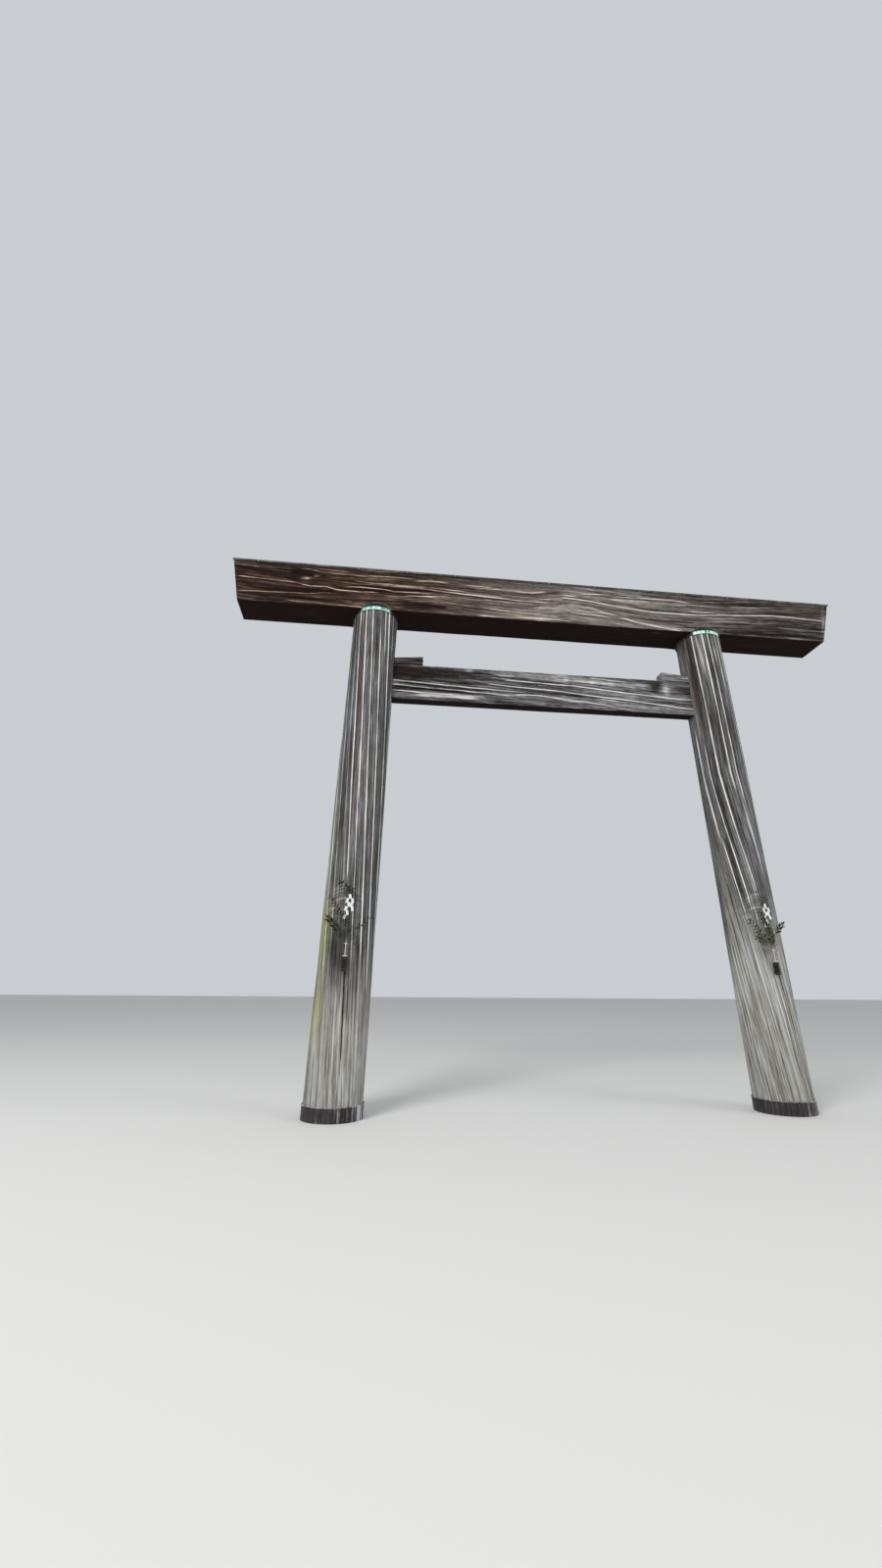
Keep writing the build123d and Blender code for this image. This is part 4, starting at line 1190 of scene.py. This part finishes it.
branch_bark = tinted("branch_bark", 0.8, 0.3, (
    (0.1, tone(26, 22, 18)), (0.6, tone(84, 76, 62)), (1.0, tone(186, 178, 160))))
leaf_green = tinted("leaf_green", 0.5, 0.22, (
    (0.1, tone(8, 10, 5)), (0.5, tone(30, 36, 15)), (0.75, tone(60, 70, 28)), (1.0, tone(124, 134, 66))))
for side, hand in ((-1, "left"), (1, "right")):
    chance = random.Random(40 + side)
    stem = sprig_path(np.array((0, 0, stem_foot)), np.array((0, 0, stem_top)), 0, side, 20)
    wood = limb(hand + "_sprig_wood", stem, stem_foot_radius, stem_top_radius)
    note(wood, "tint", np.interp(points_of(wood)[:, 2], (0.40, 0.50), (0.75, 0.15)))
    twigs, leafy_paths = [wood], [(stem[-4:], 1.0), (stem[7:12], middle_leafiness[side])]
    for number, (share, bearing, rise, length, leafiness) in enumerate(sprig_twigs[side]):
        bearing, rise = math.radians(bearing), math.radians(rise)
        start = np.array((0, 0, stem_bare + share * (stem_top - stem_bare)))
        level = length * math.cos(rise)
        tip = start + (level * math.sin(bearing), -level * math.cos(bearing), length * math.sin(rise))
        path = sprig_path(start, tip, 0.05 * length, number + 3, twig_points)
        twig = limb(hand + "_sprig_twig", path, twig_foot_radius, twig_tip_radius)
        note(twig, "tint", np.full(len(twig.data.vertices), 0.15))
        twigs.append(twig)
        leafy_paths.append((path, leafiness))
    leaves = []
    for path, leafiness in leafy_paths:
        leaves += leaves_along(hand + "_leaf", path, leafiness, chance, leaf_tints_and_light[side])
    for parts, node, finish, slot in (
        (twigs, "_sprig_stem", branch_bark, "branch"),
        (leaves, "_sprig_leaves", leaf_green, "leaf"),
    ):
        piece = join(parts)
        piece.name = piece.data.name = hand + node + "_piece"
        set_points(piece, on_holder(side, points_of(piece)))
        if slot == "leaf":
            thicken(piece, leaf_thickness, 0)
        smooth(piece, 60)
        piece.data.materials.append(finish)
        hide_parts(hand + node)
        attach(piece, "root")


# ---- Ties and paper streamers ----
# White paper cord is wound round each stem and knotted in front. Near the top hangs a zigzag streamer,
# cut and folded from white paper in two strands, from a loop round the stem.
lowest_cord, cord_radius, cord_round, cord_pitch = 0.3885, 0.0028, 0.0105, 0.0055
cord_end_radius, knot_y, knot_z, cord_end_x, cord_end_z = 0.0022, -0.0135, 0.394, 0.030, 0.402
streamer_high, streamer_y, paper_thickness = 1.150, -0.0085, 0.0006
first_panel_drop = 0.038
loop_outline = [(0.0058, 1.131), (0.0066, 1.131), (0.0066, 1.1495), (0.0058, 1.1495)]
panel_half_width, panel_half_height, panel_pitch, panel_fold = 0.01914, 0.035, 0.063, 13
strand_width, paper_bow = 0.062, 0.004
# Panels of the two strands, each so many strand widths to the right of the stem, from the top down
long_strand = (0, -0.58, -0.13, -0.74, -0.35, -1.0)
short_strand = (0.71, 0.48, 0.81)
white_paper = plain_finish("white_paper", tone(190, 193, 192), tone(222, 225, 223), 0.85, 30, 0.2)
for side, hand in ((-1, "left"), (1, "right")):
    cords = []
    for number in range(3):
        cord = round_edge(cord_round, lowest_cord + number * cord_pitch, cord_radius, cord_radius,
                          [k * math.pi / 4 for k in range(8)])
        part, bearing, radius, z = ring(hand + "_sprig_tie_cord", cord, 24)
        set_points(part, ring_points(bearing, radius, z))
        cords.append(part)
    for turn in (-1, 1):
        start, tip = np.array((0, knot_y, knot_z)), np.array((turn * cord_end_x, knot_y, cord_end_z))
        path = sprig_path(start, tip, 0.003, turn, 6)
        cords.append(limb(hand + "_sprig_tie_end", path, cord_radius, cord_end_radius))
    panels = []
    for strand, first in ((long_strand, 0), (short_strand, 1)):
        for number, share in enumerate(strand):
            panel = new_piece(bpy.ops.mesh.primitive_grid_add, hand + "_paper_streamer_fold",
                              x_subdivisions=5, y_subdivisions=6, size=2)
            unit = points_of(panel)
            turn = 1 if number % 2 else -1
            tilt = math.radians(panel_fold) * turn
            wide, high = unit[:, 0] * panel_half_width, unit[:, 1] * panel_half_height
            bow = paper_bow * (1 - unit[:, 0] ** 2) * turn + 0.002 * unit[:, 1]
            middle = streamer_high - first_panel_drop - (first + number) * panel_pitch
            x = share * strand_width + wide * math.cos(tilt) + high * math.sin(tilt)
            y = streamer_y - 0.001 * (number % 2) - 0.5 * np.abs(bow)
            set_points(panel, triples(x, y, middle - wide * math.sin(tilt) + high * math.cos(tilt)))
            panels.append(panel)
    loop, bearing, radius, z = ring(hand + "_paper_streamer_loop", loop_outline, 20)
    set_points(loop, ring_points(bearing, radius, z))
    paper = join(panels)
    thicken(paper, paper_thickness, 0)
    for parts, node in ((cords, "_sprig_tie"), ([paper, loop], "_paper_streamer")):
        piece = join(parts)
        piece.name = piece.data.name = hand + node + "_piece"
        set_points(piece, on_holder(side, points_of(piece)))
        smooth(piece, 40)
        piece.data.materials.append(white_paper)
        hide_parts(hand + node)
        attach(piece, "root")


# ---- Floor, light and camera ----
# A plain pale floor and soft light. The camera stands where the photograph was taken, low and left of the
# middle, and looks up at the gate through a wide lens.
floor_finish = Finish("pale_floor", roughness=0.9)
floor_finish.shader.inputs["Base Color"].default_value = tone(205, 204, 200)
floor = new_piece(bpy.ops.mesh.primitive_plane_add, "floor", size=400, location=(0, 0, 0))
floor.data.materials.append(floor_finish.material)

world = bpy.data.worlds.new("soft_light")
bpy.context.scene.world = world
world.use_nodes = True
world.node_tree.nodes["Background"].inputs["Color"].default_value = (0.86, 0.9, 0.95, 1)
world.node_tree.nodes["Background"].inputs["Strength"].default_value = 0.68


def soft_light(name, place, aim, size, power):
    light = bpy.data.lights.new(name, "AREA")
    light.shape, light.size, light.energy = "DISK", size, power
    lamp = bpy.data.objects.new(name, light)
    bpy.context.scene.collection.objects.link(lamp)
    lamp.location = place
    lamp.rotation_euler = (Vector(aim) - Vector(place)).to_track_quat("-Z", "Y").to_euler()


soft_light("key_light", (-16, -20, 20), (0, 0, 5), 12, 7000)
soft_light("fill_light", (20, -14, 9), (0, 0, 4), 14, 1800)

camera_place = (-3.0947, -10.0656, 1.7646)
camera_turn, camera_rise, camera_roll = 0.10978, 0.33234, -0.00713
lens = bpy.data.cameras.new("camera")
lens.sensor_width, lens.lens = 36, 13.817
camera = bpy.data.objects.new("camera", lens)
bpy.context.scene.collection.objects.link(camera)
camera.location = camera_place
camera.rotation_mode = "QUATERNION"
aim = Matrix.Rotation(-camera_turn, 4, "Z") @ Matrix.Rotation(math.pi / 2 + camera_rise, 4, "X")
camera.rotation_quaternion = (aim @ Matrix.Rotation(-camera_roll, 4, "Z")).to_quaternion()
bpy.context.scene.camera = camera
bpy.context.scene.view_settings.view_transform = "Standard"
